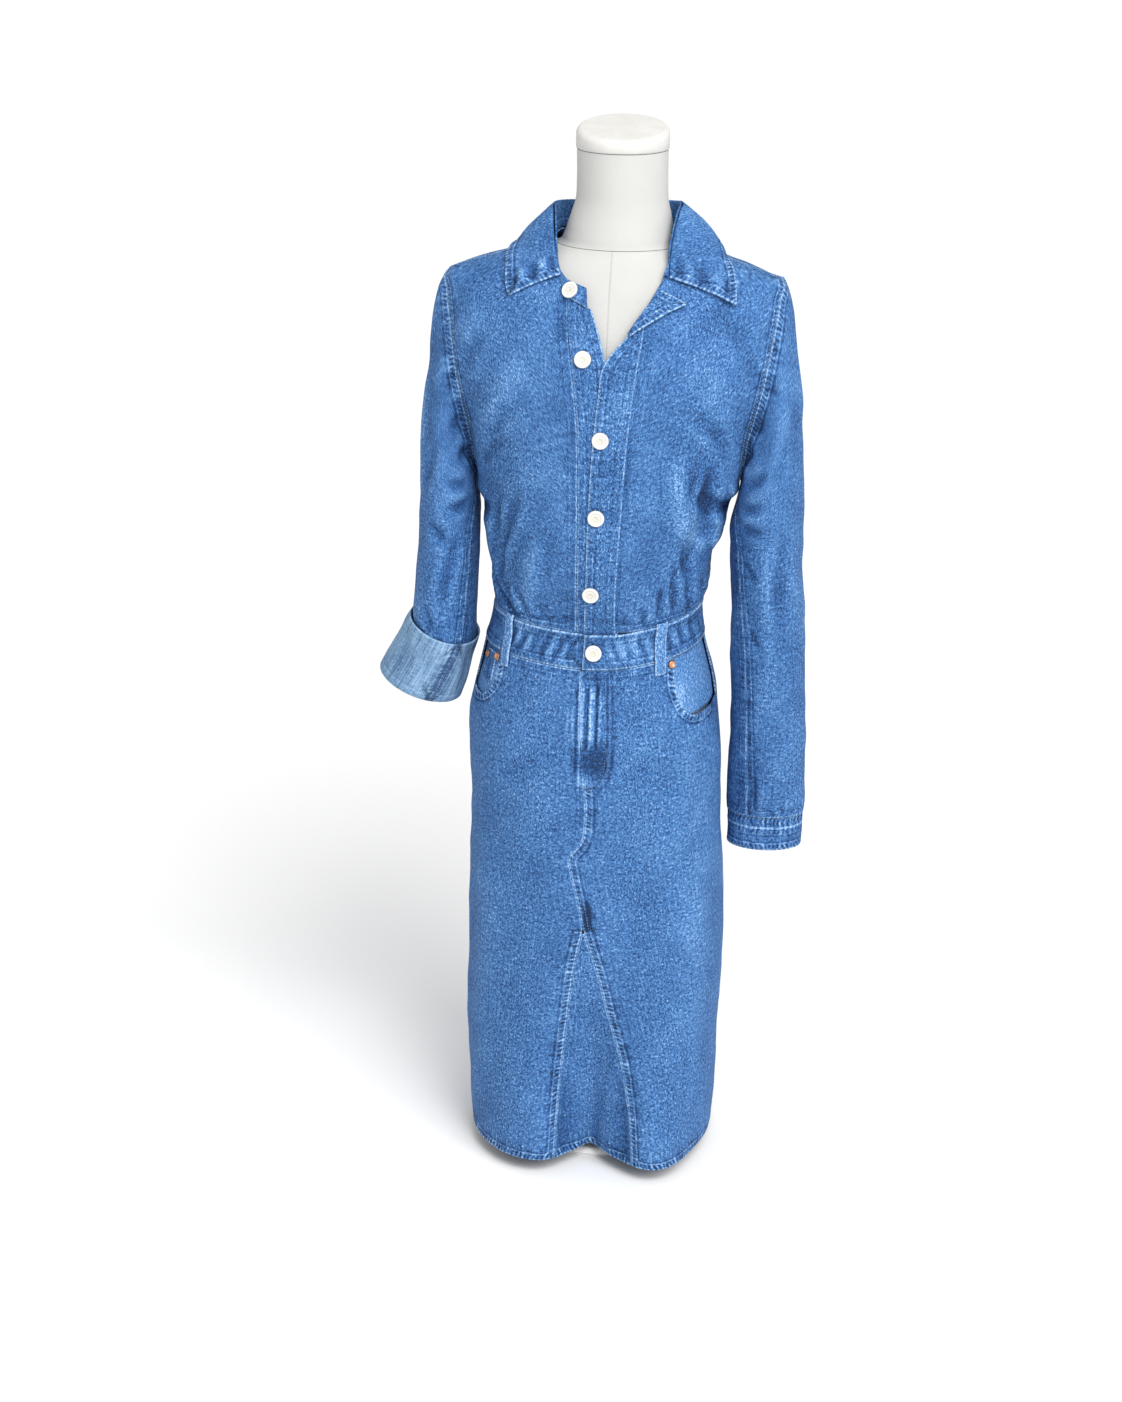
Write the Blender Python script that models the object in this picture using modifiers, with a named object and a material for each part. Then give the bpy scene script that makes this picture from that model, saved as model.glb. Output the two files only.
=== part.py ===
"""Denim shirt dress on a limbless dress form, which stands on a pole and a round base.

Metres, +Z up, the front towards -Y, +X is the wearer's left. The origin is the middle of the base's underside.
The cloth is a wall on one body shape: horizontal sections, read from BODY, with the folds of FOLDS pressed in.
Seams leave a gap, and a piece that lies on another is made from the same surface, lifted off it.
"""
import math

import bmesh
import bpy
import numpy as np
from mathutils import Vector

# ---- driving dimensions ---------------------------------------------------------------------------------
CLOTH = 0.0015            # one layer of 12 oz denim
DOUBLE = 0.0022           # two layers: collar leaf, stand, cuff, waistband
SEAM = 0.0006             # gap between two pieces at a seam
LIE = 0.0005              # gap between a piece and the one it lies on
ROUND = 2.3               # exponent of the body's sections: 2 is an ellipse, more is squarer
ROUND_TOP = 1.95          # the same over the shoulders
HEM = 0.020               # height of the hem above the floor
WAIST_LOW = 0.602         # lower and upper edge of the waistband
WAIST_HIGH = 0.642
UNDERARM = 0.800
SHOULDER_TIP = 1.018
BUTTON_RADIUS = 0.009
RIVET_RADIUS = 0.0045
BASE_RADIUS = 0.070
BASE_THICKNESS = 0.008
POLE_RADIUS = 0.011
NECK_SEAM = 1.050
NECK_SHIFT = 0.0065
CAP_RADIUS = 0.0488
CAP_LOW = 1.1480          # the neck cap is a wedge: its top slopes down to the front
CAP_MIDDLE = 1.1700
CAP_SLANT = 0.17          # rise over run of its top

# Sections of the dress: height, half width, depth to the front and to the back, sideways shift.
BODY = np.array([
    (0.020, 0.1394, 0.1290, 0.112, -0.0070),
    (0.060, 0.1418, 0.1285, 0.114, -0.0065),
    (0.165, 0.1448, 0.1275, 0.117, -0.0078),
    (0.290, 0.1456, 0.1265, 0.118, -0.0055),
    (0.345, 0.1432, 0.1250, 0.118, -0.0068),
    (0.440, 0.1400, 0.1225, 0.119, -0.0093),
    (0.490, 0.1405, 0.1200, 0.118, -0.0105),
    (0.536, 0.1374, 0.1160, 0.112, -0.0118),
    (0.560, 0.1334, 0.1120, 0.106, -0.0116),
    (0.602, 0.1238, 0.1035, 0.094, -0.0118),
    (0.642, 0.1142, 0.0990, 0.085, -0.0105),
    (0.654, 0.1130, 0.1020, 0.087, -0.0100),
    (0.677, 0.1165, 0.1090, 0.092, -0.0070),
    (0.700, 0.1190, 0.1140, 0.097, -0.0075),
    (0.725, 0.1245, 0.1175, 0.100, -0.0085),
    (0.746, 0.1290, 0.1190, 0.103, -0.0060),
    (0.768, 0.1350, 0.1200, 0.105, -0.0040),
    (0.790, 0.1395, 0.1210, 0.106, -0.0015),
    (0.840, 0.1510, 0.1210, 0.108, 0.0000),
    (0.915, 0.1735, 0.1160, 0.107, 0.0015),
    (0.970, 0.1815, 0.1010, 0.099, 0.0020),
    (1.000, 0.1825, 0.0880, 0.089, 0.0015),
    (1.017, 0.1775, 0.0780, 0.080, 0.0010),
    (1.029, 0.1450, 0.0710, 0.075, 0.0010),
    (1.039, 0.1130, 0.0650, 0.072, 0.0015),
    (1.049, 0.0860, 0.0600, 0.069, 0.0020),
    (1.057, 0.0680, 0.0560, 0.064, 0.0030),
    (1.070, 0.0560, 0.0510, 0.058, 0.0040),
    (1.090, 0.0520, 0.0480, 0.052, 0.0050),
])

# The dress form inside, in the same columns. Its shoulders carry the dress.
FORM = np.array([
    (0.4450, 0.1130, 0.0940, 0.0930, -0.0090),
    (0.4500, 0.1200, 0.1000, 0.0990, -0.0095),
    (0.4700, 0.1270, 0.1050, 0.1040, -0.0100),
    (0.5200, 0.1280, 0.1040, 0.1020, -0.0110),
    (0.5600, 0.1210, 0.0990, 0.0940, -0.0120),
    (0.6020, 0.1110, 0.0910, 0.0820, -0.0120),
    (0.6420, 0.1045, 0.0880, 0.0750, -0.0100),
    (0.6800, 0.1065, 0.0930, 0.0790, -0.0080),
    (0.7460, 0.1180, 0.1040, 0.0890, -0.0045),
    (0.8000, 0.1250, 0.1100, 0.0950, -0.0010),
    (0.8400, 0.1300, 0.1120, 0.0980, 0.0000),
    (0.9150, 0.1450, 0.1070, 0.0980, 0.0000),
    (0.9700, 0.1620, 0.0930, 0.0930, 0.0010),
    (0.9980, 0.1680, 0.0810, 0.0830, 0.0015),
    (1.0140, 0.1630, 0.0740, 0.0760, 0.0010),
    (1.0260, 0.1380, 0.0670, 0.0710, 0.0010),
    (1.0360, 0.1080, 0.0610, 0.0675, 0.0015),
    (1.0440, 0.0820, 0.0560, 0.0640, 0.0030),
    (1.0500, 0.0655, 0.0540, 0.0610, 0.0045),
    (1.0600, 0.0585, 0.0530, 0.0575, 0.0052),
    (1.0700, 0.0555, 0.0515, 0.0545, 0.0058),
    (1.0800, 0.0528, 0.0500, 0.0515, 0.0065),
    (1.0950, 0.0488, 0.0485, 0.0490, 0.0070),
    (1.1150, 0.0478, 0.0478, 0.0478, 0.0070),
    (1.1500, 0.0478, 0.0478, 0.0478, 0.0065),
])

# Folds pressed into the body shape, one a row: angle in plan and half width in degrees, depth (less than 0
# swells), then the heights where it starts, is full, is still full, and is gone.
FOLDS = np.array([
    (-84.0, 17.0, 0.0560, -1.0, -0.9, 0.00, 0.30),
    (-57.0, 19.0, -0.0230, -1.0, -0.9, 0.00, 0.20),
    (-122.0, 18.0, -0.0060, -1.0, -0.9, 0.00, 0.20),
    (66.0, 15.0, 0.0260, -1.0, -0.9, 0.00, 0.32),
    (112.0, 17.0, -0.0080, -1.0, -0.9, 0.00, 0.26),
    (148.0, 13.0, 0.0140, -1.0, -0.9, 0.00, 0.24),
    (22.0, 12.0, -0.0060, -1.0, -0.9, 0.00, 0.24),
    (-33.0, 9.0, 0.0110, 0.700, 0.735, 0.765, 0.830),
    (-147.0, 9.0, 0.0060, 0.690, 0.720, 0.750, 0.810),
    (40.0, 10.0, 0.0080, 0.690, 0.720, 0.760, 0.830),
    (138.0, 10.0, 0.0070, 0.690, 0.720, 0.760, 0.830),
])

# How far the waistline and all near it is raised round the body: angle in plan in degrees, rise.
WAIST_RISE = np.array([
    (-180.0, 0.0110), (-140.0, 0.0110), (-116.0, 0.0080), (-92.0, 0.0055), (-65.0, 0.0080), (-49.0, 0.0120),
    (-12.0, 0.0200), (20.0, 0.0180), (60.0, 0.0100), (100.0, 0.0060), (140.0, 0.0070), (180.0, 0.0110),
])

# Lines on the front, each from low to high: height and x. The waistline's rise is added to the heights.
UNDER_SEAM = np.array([(0.642, -0.024), (0.800, -0.0235), (0.886, -0.026), (0.926, -0.031), (0.965, -0.037),
                       (1.004, -0.040), (1.020, -0.041)])
UNDER_EDGE = np.array([(0.642, 0.006), (0.800, 0.008), (0.900, 0.007), (0.946, 0.002), (0.967, -0.004),
                       (1.000, -0.016), (1.015, -0.020)])
OVER_EDGE = np.array([(0.642, -0.016), (0.700, -0.014), (0.782, -0.012), (0.865, -0.008), (0.908, -0.004),
                      (0.944, 0.002), (0.958, 0.012), (0.970, 0.023), (0.985, 0.034)])
OVER_SEAM = np.array([(0.642, 0.0175), (0.691, 0.018), (0.784, 0.023), (0.867, 0.028), (0.888, 0.030),
                      (0.942, 0.036), (0.962, 0.039), (0.985, 0.041)])
LEFT_FRONT_EDGE = np.array([(0.642, 0.0085), (0.800, 0.0105), (0.900, 0.0115), (0.944, 0.0130), (0.958, 0.018),
                            (0.970, 0.026), (0.995, 0.039), (1.015, 0.051), (1.026, 0.058)])
CENTRE_SEAM = np.array([(0.311, -0.009), (0.346, -0.016), (0.381, -0.024), (0.397, -0.026), (0.412, -0.014),
                        (0.441, -0.009), (0.482, -0.011), (0.531, -0.017), (0.602, -0.018)])
GUSSET_RIGHT = np.array([(0.020, -0.039), (0.122, -0.033), (0.200, -0.026), (0.274, -0.017), (0.311, -0.0095)])
GUSSET_LEFT = np.array([(0.020, 0.051), (0.051, 0.049), (0.152, 0.034), (0.203, 0.020), (0.258, 0.008),
                        (0.311, -0.0085)])

# The collar, from the wearer's left front end round the back to the right: its seam with the neckline in plan,
# the roll line, and the leaf's outer edge.
COLLAR = np.array([
    (0.0580, -0.0660, 0.0620, -0.0670, 1.0260, 0.1340, -0.0720, 1.0030),
    (0.0650, -0.0450, 0.0620, -0.0450, 1.0560, 0.1290, -0.0450, 1.0240),
    (0.0685, -0.0180, 0.0660, -0.0140, 1.0840, 0.1200, -0.0160, 1.0420),
    (0.0675, 0.0120, 0.0680, 0.0180, 1.0900, 0.1090, 0.0180, 1.0480),
    (0.0520, 0.0490, 0.0540, 0.0510, 1.0850, 0.0800, 0.0740, 1.0300),
    (0.0040, 0.0680, 0.0040, 0.0680, 1.0800, 0.0040, 0.0920, 1.0180),
    (-0.0440, 0.0490, -0.0480, 0.0510, 1.0830, -0.0740, 0.0730, 1.0280),
    (-0.0590, 0.0120, -0.0640, 0.0180, 1.0860, -0.1030, 0.0180, 1.0430),
    (-0.0620, -0.0190, -0.0620, -0.0130, 1.0800, -0.1080, -0.0130, 1.0370),
    (-0.0580, -0.0480, -0.0570, -0.0450, 1.0540, -0.1050, -0.0440, 1.0220),
    (-0.0440, -0.0790, -0.0470, -0.0720, 1.0280, -0.1010, -0.0740, 1.0030),
    (-0.0190, -0.0900, -0.0215, -0.0850, 1.0170, -0.0750, -0.0840, 0.9900),
])
LEAF_STATIONS = 10.0      # the leaf ends one station before the stand, which reaches on to the front edge

# Sleeve sections from the elbow down: centre, half width, half depth, tilt in degrees about Y.
RIGHT_SLEEVE = np.array([
    (-0.1750, -0.003, 0.740, 0.0330, 0.0620, 0.0),
    (-0.1770, -0.004, 0.690, 0.0340, 0.0600, 1.0),
    (-0.1795, -0.005, 0.642, 0.0345, 0.0580, 6.0),
    (-0.1812, -0.005, 0.612, 0.0355, 0.0570, 14.0),
    (-0.1885, -0.005, 0.5910, 0.0395, 0.0580, 20.0),
    (-0.1975, -0.005, 0.5710, 0.0430, 0.0590, 20.0),
    (-0.2065, -0.005, 0.5552, 0.0460, 0.0610, 20.0),
])
LEFT_SLEEVE = np.array([
    (0.1720, -0.002, 0.740, 0.0400, 0.062, 0.0),
    (0.1735, 0.001, 0.690, 0.0400, 0.0585, 0.0),
    (0.1765, 0.004, 0.640, 0.0400, 0.055, 0.0),
    (0.1803, 0.010, 0.560, 0.0415, 0.0485, 0.0),
    (0.1815, 0.016, 0.480, 0.0430, 0.0415, 0.0),
    (0.1820, 0.020, 0.430, 0.0440, 0.037, 0.0),
    (0.1820, 0.022, 0.4096, 0.0435, 0.0335, 0.0),
])
TURN_UP = np.array([      # top to bottom, round the end of the right sleeve
    (-0.1800, -0.005, 0.6210, 0.0405, 0.0630, 20.0),
    (-0.1885, -0.005, 0.5986, 0.0435, 0.0630, 20.0),
    (-0.1975, -0.005, 0.5765, 0.0465, 0.0630, 20.0),
    (-0.2070, -0.005, 0.5550, 0.0485, 0.0640, 20.0),
])
CUFF = np.array([
    (0.1820, 0.022, 0.4090, 0.0425, 0.0310, 0.0),
    (0.1820, 0.022, 0.3690, 0.0420, 0.0305, 0.0),
])
SLEEVE_OUTWARD = (0.50, -0.87)     # the way the sleeve leaves the armhole: out and down

BUTTONS = [  # x, height, lift of the cloth it is sewn to
    (-0.0370, 1.0080, 0.0002), (-0.0210, 0.9470, 0.0), (0.0000, 0.8660, 0.0020), (-0.0030, 0.7830, 0.0020),
    (-0.0080, 0.6930, 0.0020), (-0.0050, 0.6210, 0.0046),
]
LOOPS = [-140.0, -48.0, 35.0, 90.0, 145.0]      # angles of the belt loops in plan
BODICE_ROWS = (4, 7, 5)          # rows at the side seam, the armhole and the shoulder seam
SHOULDER_STATIONS = {1: 2.60, -1: 7.38}      # where the shoulder seams meet the collar, in stations
SIDE_GAP = 0.0025         # half the side seam's gap, as an angle in radians
GUSSET_TOP = 0.311
CENTRE_ROWS = (0.346, 0.381, 0.397, 0.412, 0.441)      # the seam's turns under the fly
POCKETS = {   # x of the mouth's inner corner, its lowest point, and the angle of the side seam
    1: (0.0800, 0.545, -0.03), -1: (-0.1110, 0.556, 0.03 - math.pi),
}

NAVY = (0.060, 0.150, 0.330)
MATERIALS = {   # colour, roughness, metallic
    "denim": (NAVY, 0.90, 0.0),
    "denim_wrong_side": ((0.300, 0.440, 0.620), 0.92, 0.0),
    "pocket_denim": ((0.130, 0.260, 0.480), 0.90, 0.0),
    "button_pearl": ((0.820, 0.800, 0.740), 0.35, 0.0),
    "rivet_copper": ((0.620, 0.330, 0.220), 0.40, 0.9),
    "form_fabric": ((0.850, 0.840, 0.810), 0.85, 0.0),
    "cap_paint": ((0.840, 0.820, 0.760), 0.45, 0.0),
    "stand_paint": ((0.860, 0.860, 0.850), 0.40, 0.1),
}


# ---- the body shape -------------------------------------------------------------------------------------
def smooth_step(low, high, value):
    t = np.clip((value - low) / (high - low), 0.0, 1.0)
    return t * t * (3 - 2 * t)


def read_column(knots, values, at):
    """Smooth curve through a table's column: cubic between knots, flat beyond the ends."""
    at = np.clip(at, knots[0], knots[-1])
    slopes = np.gradient(values, knots)
    i = np.clip(np.searchsorted(knots, at, side="right") - 1, 0, len(knots) - 2)
    span = knots[i + 1] - knots[i]
    t = (at - knots[i]) / span
    rise = values[i] * (2 * t**3 - 3 * t**2 + 1) + values[i + 1] * (3 * t**2 - 2 * t**3)
    return rise + span * (slopes[i] * (t**3 - 2 * t**2 + t) + slopes[i + 1] * (t**3 - t**2))


def fold_depth(angle, z):
    """How far the folds push the body's wall in at an angle in plan (radians) and a height."""
    total = np.zeros(np.broadcast(angle, z).shape)
    for centre, width, depth, start, full, fading, gone in FOLDS:
        away = (np.degrees(angle) - centre + 180.0) % 360.0 - 180.0
        height = smooth_step(start, full, z) * (1.0 - smooth_step(fading, gone, z))
        total += depth * np.exp(-(away / width) ** 2) * height
    return total


def section(z, table=BODY):
    """Half width, front and back depth, shift and exponent of the section at a height."""
    power = ROUND + (ROUND_TOP - ROUND) * smooth_step(0.97, 1.03, z)
    return (*(read_column(table[:, 0], table[:, k], z) for k in (1, 2, 3, 4)), power)


def level(p):
    """Below 0 inside the body, 0 on it, above 0 outside, in units of the distance from its middle."""
    half, front, back, shift, power = section(p[..., 2])
    x, y = p[..., 0] - shift, p[..., 1]
    depth = np.where(y < 0, front, back)
    size = (np.abs(x / half) ** power + np.abs(y / depth) ** power) ** (1 / power)
    return size - 1.0 + fold_depth(np.arctan2(y, x), p[..., 2]) / np.maximum(np.hypot(x, y) / size, 0.01)


def slope(p):
    """Gradient of level(): the outward direction."""
    step = 0.0002
    parts = []
    for k in range(3):
        move = np.zeros(3)
        move[k] = step
        parts.append((level(p + move) - level(p - move)) / (2 * step))
    return np.stack(parts, axis=-1)


def settle(p, lift=0.0):
    """Points brought to the body's surface the short way, then lifted off it."""
    p = np.array(p, dtype=float)
    for _ in range(6):
        g = slope(p)
        p = p - (level(p) / np.maximum((g * g).sum(-1), 1e-9))[..., None] * g
    return raised(p, lift)


def raised(p, lift):
    g = slope(p)
    g = g / np.linalg.norm(g, axis=-1, keepdims=True)
    return p + np.asarray(lift)[..., None] * g


def clear_of_body(p, distance):
    """Points nearer to the body than the distance, or inside it, moved out to that distance."""
    low = level(p) / np.linalg.norm(slope(p), axis=-1)
    return raised(p, np.clip(distance - low, 0, None))


def with_waistline(angle, z):
    """Heights raised with the waistline, fully at the waistband and less away from it."""
    near = smooth_step(0.470, 0.585, z) * (1 - smooth_step(0.660, 0.760, z))
    degrees = (np.degrees(angle) + 180.0) % 360.0 - 180.0
    return z + read_column(WAIST_RISE[:, 0], WAIST_RISE[:, 1], degrees) * near


def body_point(angle, z, lift=0.0):
    """The point of the body at an angle in plan (radians) and a height, which the waistline raises."""
    angle, z = np.broadcast_arrays(np.asarray(angle, float), np.asarray(z, float))
    z = with_waistline(angle, z)
    half, front, back, shift, power = section(z)
    c, s = np.cos(angle), np.sin(angle)
    depth = np.where(s < 0, front, back)
    reach = (np.abs(c / half) ** power + np.abs(s / depth) ** power) ** (-1 / power)
    reach = reach - fold_depth(angle, z)
    return raised(np.stack([shift + reach * c, reach * s, z], axis=-1), lift)


def front_angle(x, z):
    """The angle in plan at which the front has the given x."""
    low, high = np.full(np.shape(x), -math.pi), np.zeros(np.shape(x))
    for _ in range(40):
        middle = (low + high) / 2
        left_of = body_point(middle, z)[..., 0] < x
        low, high = np.where(left_of, middle, low), np.where(left_of, high, middle)
    return (low + high) / 2


def front_point(x, z, lift=0.0):
    return body_point(front_angle(np.asarray(x, float), z), z, lift)


def side_point(side, y, z):
    """The point at the side of the body with the given y and height, for side -1 or 1."""
    half, front, back, shift, power = section(z)
    depth = np.where(y < 0, front, back)
    x = shift + side * half * (1 - np.abs(y / depth) ** power) ** (1 / power)
    return np.stack([x, y + 0 * x, z + 0 * x], axis=-1)


def top_point(x, y):
    """The point of the body's upper side over a place in plan."""
    low, high = np.full(np.shape(x), 0.90), np.full(np.shape(x), 1.09)
    for _ in range(40):
        middle = (low + high) / 2
        inside = level(np.stack([x, y, middle], axis=-1)) < 0
        low, high = np.where(inside, middle, low), np.where(inside, high, middle)
    return np.stack([x, y, (low + high) / 2], axis=-1)


# ---- meshes ---------------------------------------------------------------------------------------------
def material(name):
    if name in bpy.data.materials:
        return bpy.data.materials[name]
    colour, rough, metal = MATERIALS[name]
    made = bpy.data.materials.new(name)
    made.use_nodes = True
    shader = made.node_tree.nodes["Principled BSDF"]
    shader.inputs["Base Color"].default_value = (*colour, 1.0)
    shader.inputs["Roughness"].default_value = rough
    shader.inputs["Metallic"].default_value = metal
    return made


def add_object(name, mesh, finish, group):
    made = bpy.data.objects.new(name, mesh)
    bpy.data.collections[group].objects.link(made)
    if finish:
        mesh.materials.append(material(finish))
    return made


def grid_mesh(name, grid, closed=False):
    """A mesh through rows of points, upwards, each from left to right as seen from outside."""
    rows, columns = grid.shape[:2]
    mesh = bmesh.new()
    verts = [[mesh.verts.new(grid[r, c]) for c in range(columns)] for r in range(rows)]
    for r in range(rows - 1):
        for c in range(columns if closed else columns - 1):
            d = (c + 1) % columns
            mesh.faces.new((verts[r][c], verts[r][d], verts[r + 1][d], verts[r + 1][c]))
    return mesh, verts


def cloth(name, grid, wall=CLOTH, finish="denim", closed=False):
    """A piece of cloth: the sheet is its outer face, and the wall goes inwards."""
    sheet, _ = grid_mesh(name, grid, closed)
    data = bpy.data.meshes.new(name)
    sheet.to_mesh(data)
    sheet.free()
    piece = add_object(name, data, finish, "denim_shirt_dress")
    thick = piece.modifiers.new("wall", "SOLIDIFY")
    thick.thickness = wall
    thick.offset = -1.0
    return piece


def solid(name, grid, finish):
    """A closed solid through rings of points, upwards, with flat ends."""
    mesh, verts = grid_mesh(name, grid, closed=True)
    mesh.faces.new(list(reversed(verts[0])))
    mesh.faces.new(verts[-1])
    data = bpy.data.meshes.new(name)
    mesh.to_mesh(data)
    mesh.free()
    data.shade_smooth()
    data.set_sharp_from_angle(angle=math.radians(40))
    return add_object(name, data, finish, "denim_shirt_dress")


def turned(name, profile, steps, finish):
    """A round solid about Z from its profile (radius, height), top to bottom down the outer side."""
    mesh = bmesh.new()
    verts = [mesh.verts.new((r, 0, z)) for r, z in profile]
    for a, b in zip(verts, verts[1:]):
        mesh.edges.new((a, b))
    data = bpy.data.meshes.new(name)
    mesh.to_mesh(data)
    mesh.free()
    piece = add_object(name, data, finish, "denim_shirt_dress")
    spin = piece.modifiers.new("turn", "SCREW")
    spin.axis = "Z"
    spin.steps = steps
    spin.render_steps = steps
    spin.use_merge_vertices = True
    spin.merge_threshold = 0.00001
    spin.use_smooth_shade = True
    return piece


def place_on_cloth(piece, point, outward):
    piece.location = point
    piece.rotation_euler = Vector(outward).to_track_quat("Z", "X").to_euler()


def spread(start, end, count):
    return np.linspace(start, end, count)


def seam_spread(start, end, count):
    """Even steps, with the first and last made short, so that the wall leaves a seam straight."""
    ends = 0.35
    steps = np.concatenate([[0.0, ends], ends + np.arange(1, count - 2), [count - 3 + 2 * ends]])
    return start + (end - start) * steps / steps[-1]


def along(table, station, column):
    return read_column(table[:, 0], table[:, column], station)


def patch(left, right, bottom, top):
    """A grid between four edge curves that meet at their ends."""
    u = seam_spread(0, 1, len(bottom))[None, :, None]
    v = spread(0, 1, len(left))[:, None, None]
    across = (1 - u) * left[:, None] + u * right[:, None]
    up = (1 - v) * bottom[None] + v * top[None]
    corners = ((1 - u) * (1 - v) * bottom[0] + u * (1 - v) * bottom[-1]
               + (1 - u) * v * top[0] + u * v * top[-1])
    return across + up - corners


# ---- bodice ---------------------------------------------------------------------------------------------
def armhole(side, turn, inset=0.0):
    """The armhole's edge: turn 0 at the shoulder, +-pi under the arm, less than 0 in front."""
    rise = 1 - np.abs(turn) / math.pi
    middle, reach = (SHOULDER_TIP + UNDERARM) / 2, (SHOULDER_TIP - UNDERARM) / 2 - inset
    z = middle - reach * np.cos(math.pi * rise)
    y = np.sign(turn) * np.where(turn < 0, 0.050 - inset, 0.054 - inset) * np.sin(math.pi * rise)
    return side_point(side, y, z)


def outer_edge(side, face, counts):
    """Side seam, armhole and shoulder seam of a front (face -1) or back (face 1), from waist to neck."""
    seam_rows, armhole_rows, shoulder_rows = counts
    y = face * SEAM / 2
    z = with_waistline(0.0 if side > 0 else math.pi, spread(WAIST_HIGH + SEAM, UNDERARM - SEAM, seam_rows))
    seam = side_point(side, y, z)
    turns = face * math.pi * (1 - spread(0, 1, armhole_rows + 2)[1:-1])
    shoulder = side_point(side, y, spread(SHOULDER_TIP, neck_height(side), shoulder_rows))
    return np.concatenate([seam, armhole(side, turns), shoulder])


def neck_height(side):
    x, y = (0.0665, 0.0) if side > 0 else (-0.0613, 0.0)
    return float(top_point(np.array(x), np.array(y))[2])


def neckline(first, last, count):
    """The neckline between two stations of the collar table."""
    station = seam_spread(first, last, count)
    rows = np.arange(len(COLLAR), dtype=float)
    x, y = (read_column(rows, COLLAR[:, k], station) for k in (0, 1))
    return settle(top_point(x, y))


def front_panel(name, side, edge, neck_from, columns):
    outer = outer_edge(side, -1, BODICE_ROWS)
    rows = len(outer)
    neck = neckline(neck_from, SHOULDER_STATIONS[side], columns)
    neck[-1] = outer[-1]
    z = spread(WAIST_HIGH + SEAM, neck[0][2], rows)
    inner = front_point(along(edge, z, 1) + side * SEAM / 2, z)
    inner[-1] = neck[0]
    ends = front_angle(inner[0][0], z[0]), (-SIDE_GAP if side > 0 else SIDE_GAP - math.pi)
    bottom = body_point(seam_spread(ends[0], ends[1], columns), z[0])
    bottom[0], bottom[-1] = inner[0], outer[0]
    grid = settle(patch(inner, outer, bottom, neck))
    return cloth(name, grid if side > 0 else grid[:, ::-1])


def back_panel():
    left, right = outer_edge(1, 1, BODICE_ROWS), outer_edge(-1, 1, BODICE_ROWS)
    columns = 17
    neck = neckline(SHOULDER_STATIONS[1], SHOULDER_STATIONS[-1], columns)
    neck[0], neck[-1] = left[-1], right[-1]
    bottom = body_point(seam_spread(SIDE_GAP, math.pi - SIDE_GAP, columns), WAIST_HIGH + SEAM)
    bottom[0], bottom[-1] = left[0], right[0]
    return cloth("bodice_back", settle(patch(left, right, bottom, neck)))


def strip(name, low_line, high_line, z, columns, lift, **kind):
    """A strip of cloth on the front between two lines, its rows at the given heights."""
    left, right = along(low_line, z, 1), along(high_line, z, 1)
    x = left[:, None] + (right - left)[:, None] * spread(0, 1, columns)[None]
    return cloth(name, front_point(x, np.repeat(z[:, None], columns, axis=1), lift), **kind)


def plackets():
    top = neckline(10.05, 11.0, 2)[:, 2].min() - SEAM
    inner = UNDER_SEAM + np.array([0, SEAM])
    strip("placket_under", inner, UNDER_EDGE, spread(WAIST_HIGH + SEAM, top, 14), 4, 0.0)
    strip("placket_over", OVER_EDGE, OVER_SEAM, spread(WAIST_HIGH + SEAM, 0.985, 14), 4, CLOTH + LIE)


def turned_corner():
    """The top corner of the over placket, folded out along the roll line."""
    rows, columns = 6, 4
    t = spread(0, 1, rows)[:, None]
    u = spread(0, 1, columns)[None]
    fold_x, fold_z = 0.023 + 0.035 * t, 0.9705 + 0.0555 * t
    width = 0.004 + 0.029 * t
    x, z = fold_x + width * 0.80 * u, fold_z - width * 0.55 * u
    base = settle(np.stack([x, -0.09 + 0 * x, z], axis=-1))
    return cloth("placket_turned_corner", raised(base, 0.0037 + 0.004 * u * (1 + 0 * t)))


# ---- collar ---------------------------------------------------------------------------------------------
def collar_curves(last, count):
    station = spread(0, last, count)
    rows = np.arange(len(COLLAR), dtype=float)
    columns = [read_column(rows, COLLAR[:, k], station) for k in range(8)]
    neck = settle(top_point(columns[0], columns[1]), 0.0016)
    return neck, np.stack(columns[2:5], axis=-1), np.stack(columns[5:8], axis=-1)


def collar_stand():
    neck, roll, _ = collar_curves(11.0, 27)
    v = spread(0, 1, 4)[:, None, None]
    sheet = neck[None] * (1 - v) + roll[None] * v
    return cloth("collar_stand", clear_of_body(sheet, 0.0016 + CLOTH * (v[..., 0] > 0)))


def collar_leaf():
    _, roll, edge = collar_curves(LEAF_STATIONS, 27)
    outward = roll - np.array([NECK_SHIFT, 0.0, 0.0])
    outward[:, 2] = 0.0
    outward /= np.linalg.norm(outward, axis=1, keepdims=True)
    top = roll + outward * (DOUBLE + LIE) + np.array([0, 0, 0.001])
    v = spread(0, 1, 6)[:, None, None]
    sheet = edge[None] * (1 - v) + top[None] * v
    sheet += (outward[None] * 0.5 + np.array([0, 0, 0.5])) * 0.016 * v * (1 - v)
    return cloth("collar_leaf", clear_of_body(sheet, DOUBLE + 0.0030), wall=DOUBLE)


# ---- sleeves --------------------------------------------------------------------------------------------
def ring(section, turn):
    """Points round a sleeve section; turn 0 is away from the body for either side."""
    x, y, z, half, depth, tilt = section
    side = math.copysign(1, x)
    across, tip = half * np.cos(turn) * side, math.radians(tilt)
    return np.stack([x + across * math.cos(tip), y + depth * np.sin(turn), z - across * math.sin(tip)], axis=-1)


def tube(sections, rows, turn):
    """Rings through a table of sections at even steps, top to bottom."""
    knots = np.arange(len(sections), dtype=float)
    steps = spread(0, len(sections) - 1, rows)
    columns = [read_column(knots, sections[:, k], steps) for k in range(6)]
    return np.stack([ring(section, turn) for section in zip(*columns)])


def wrapped(grid, side):
    """Rows turned upwards, and columns counter-clockwise from above."""
    grid = grid[::-1]
    return grid if side > 0 else grid[:, ::-1]


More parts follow.
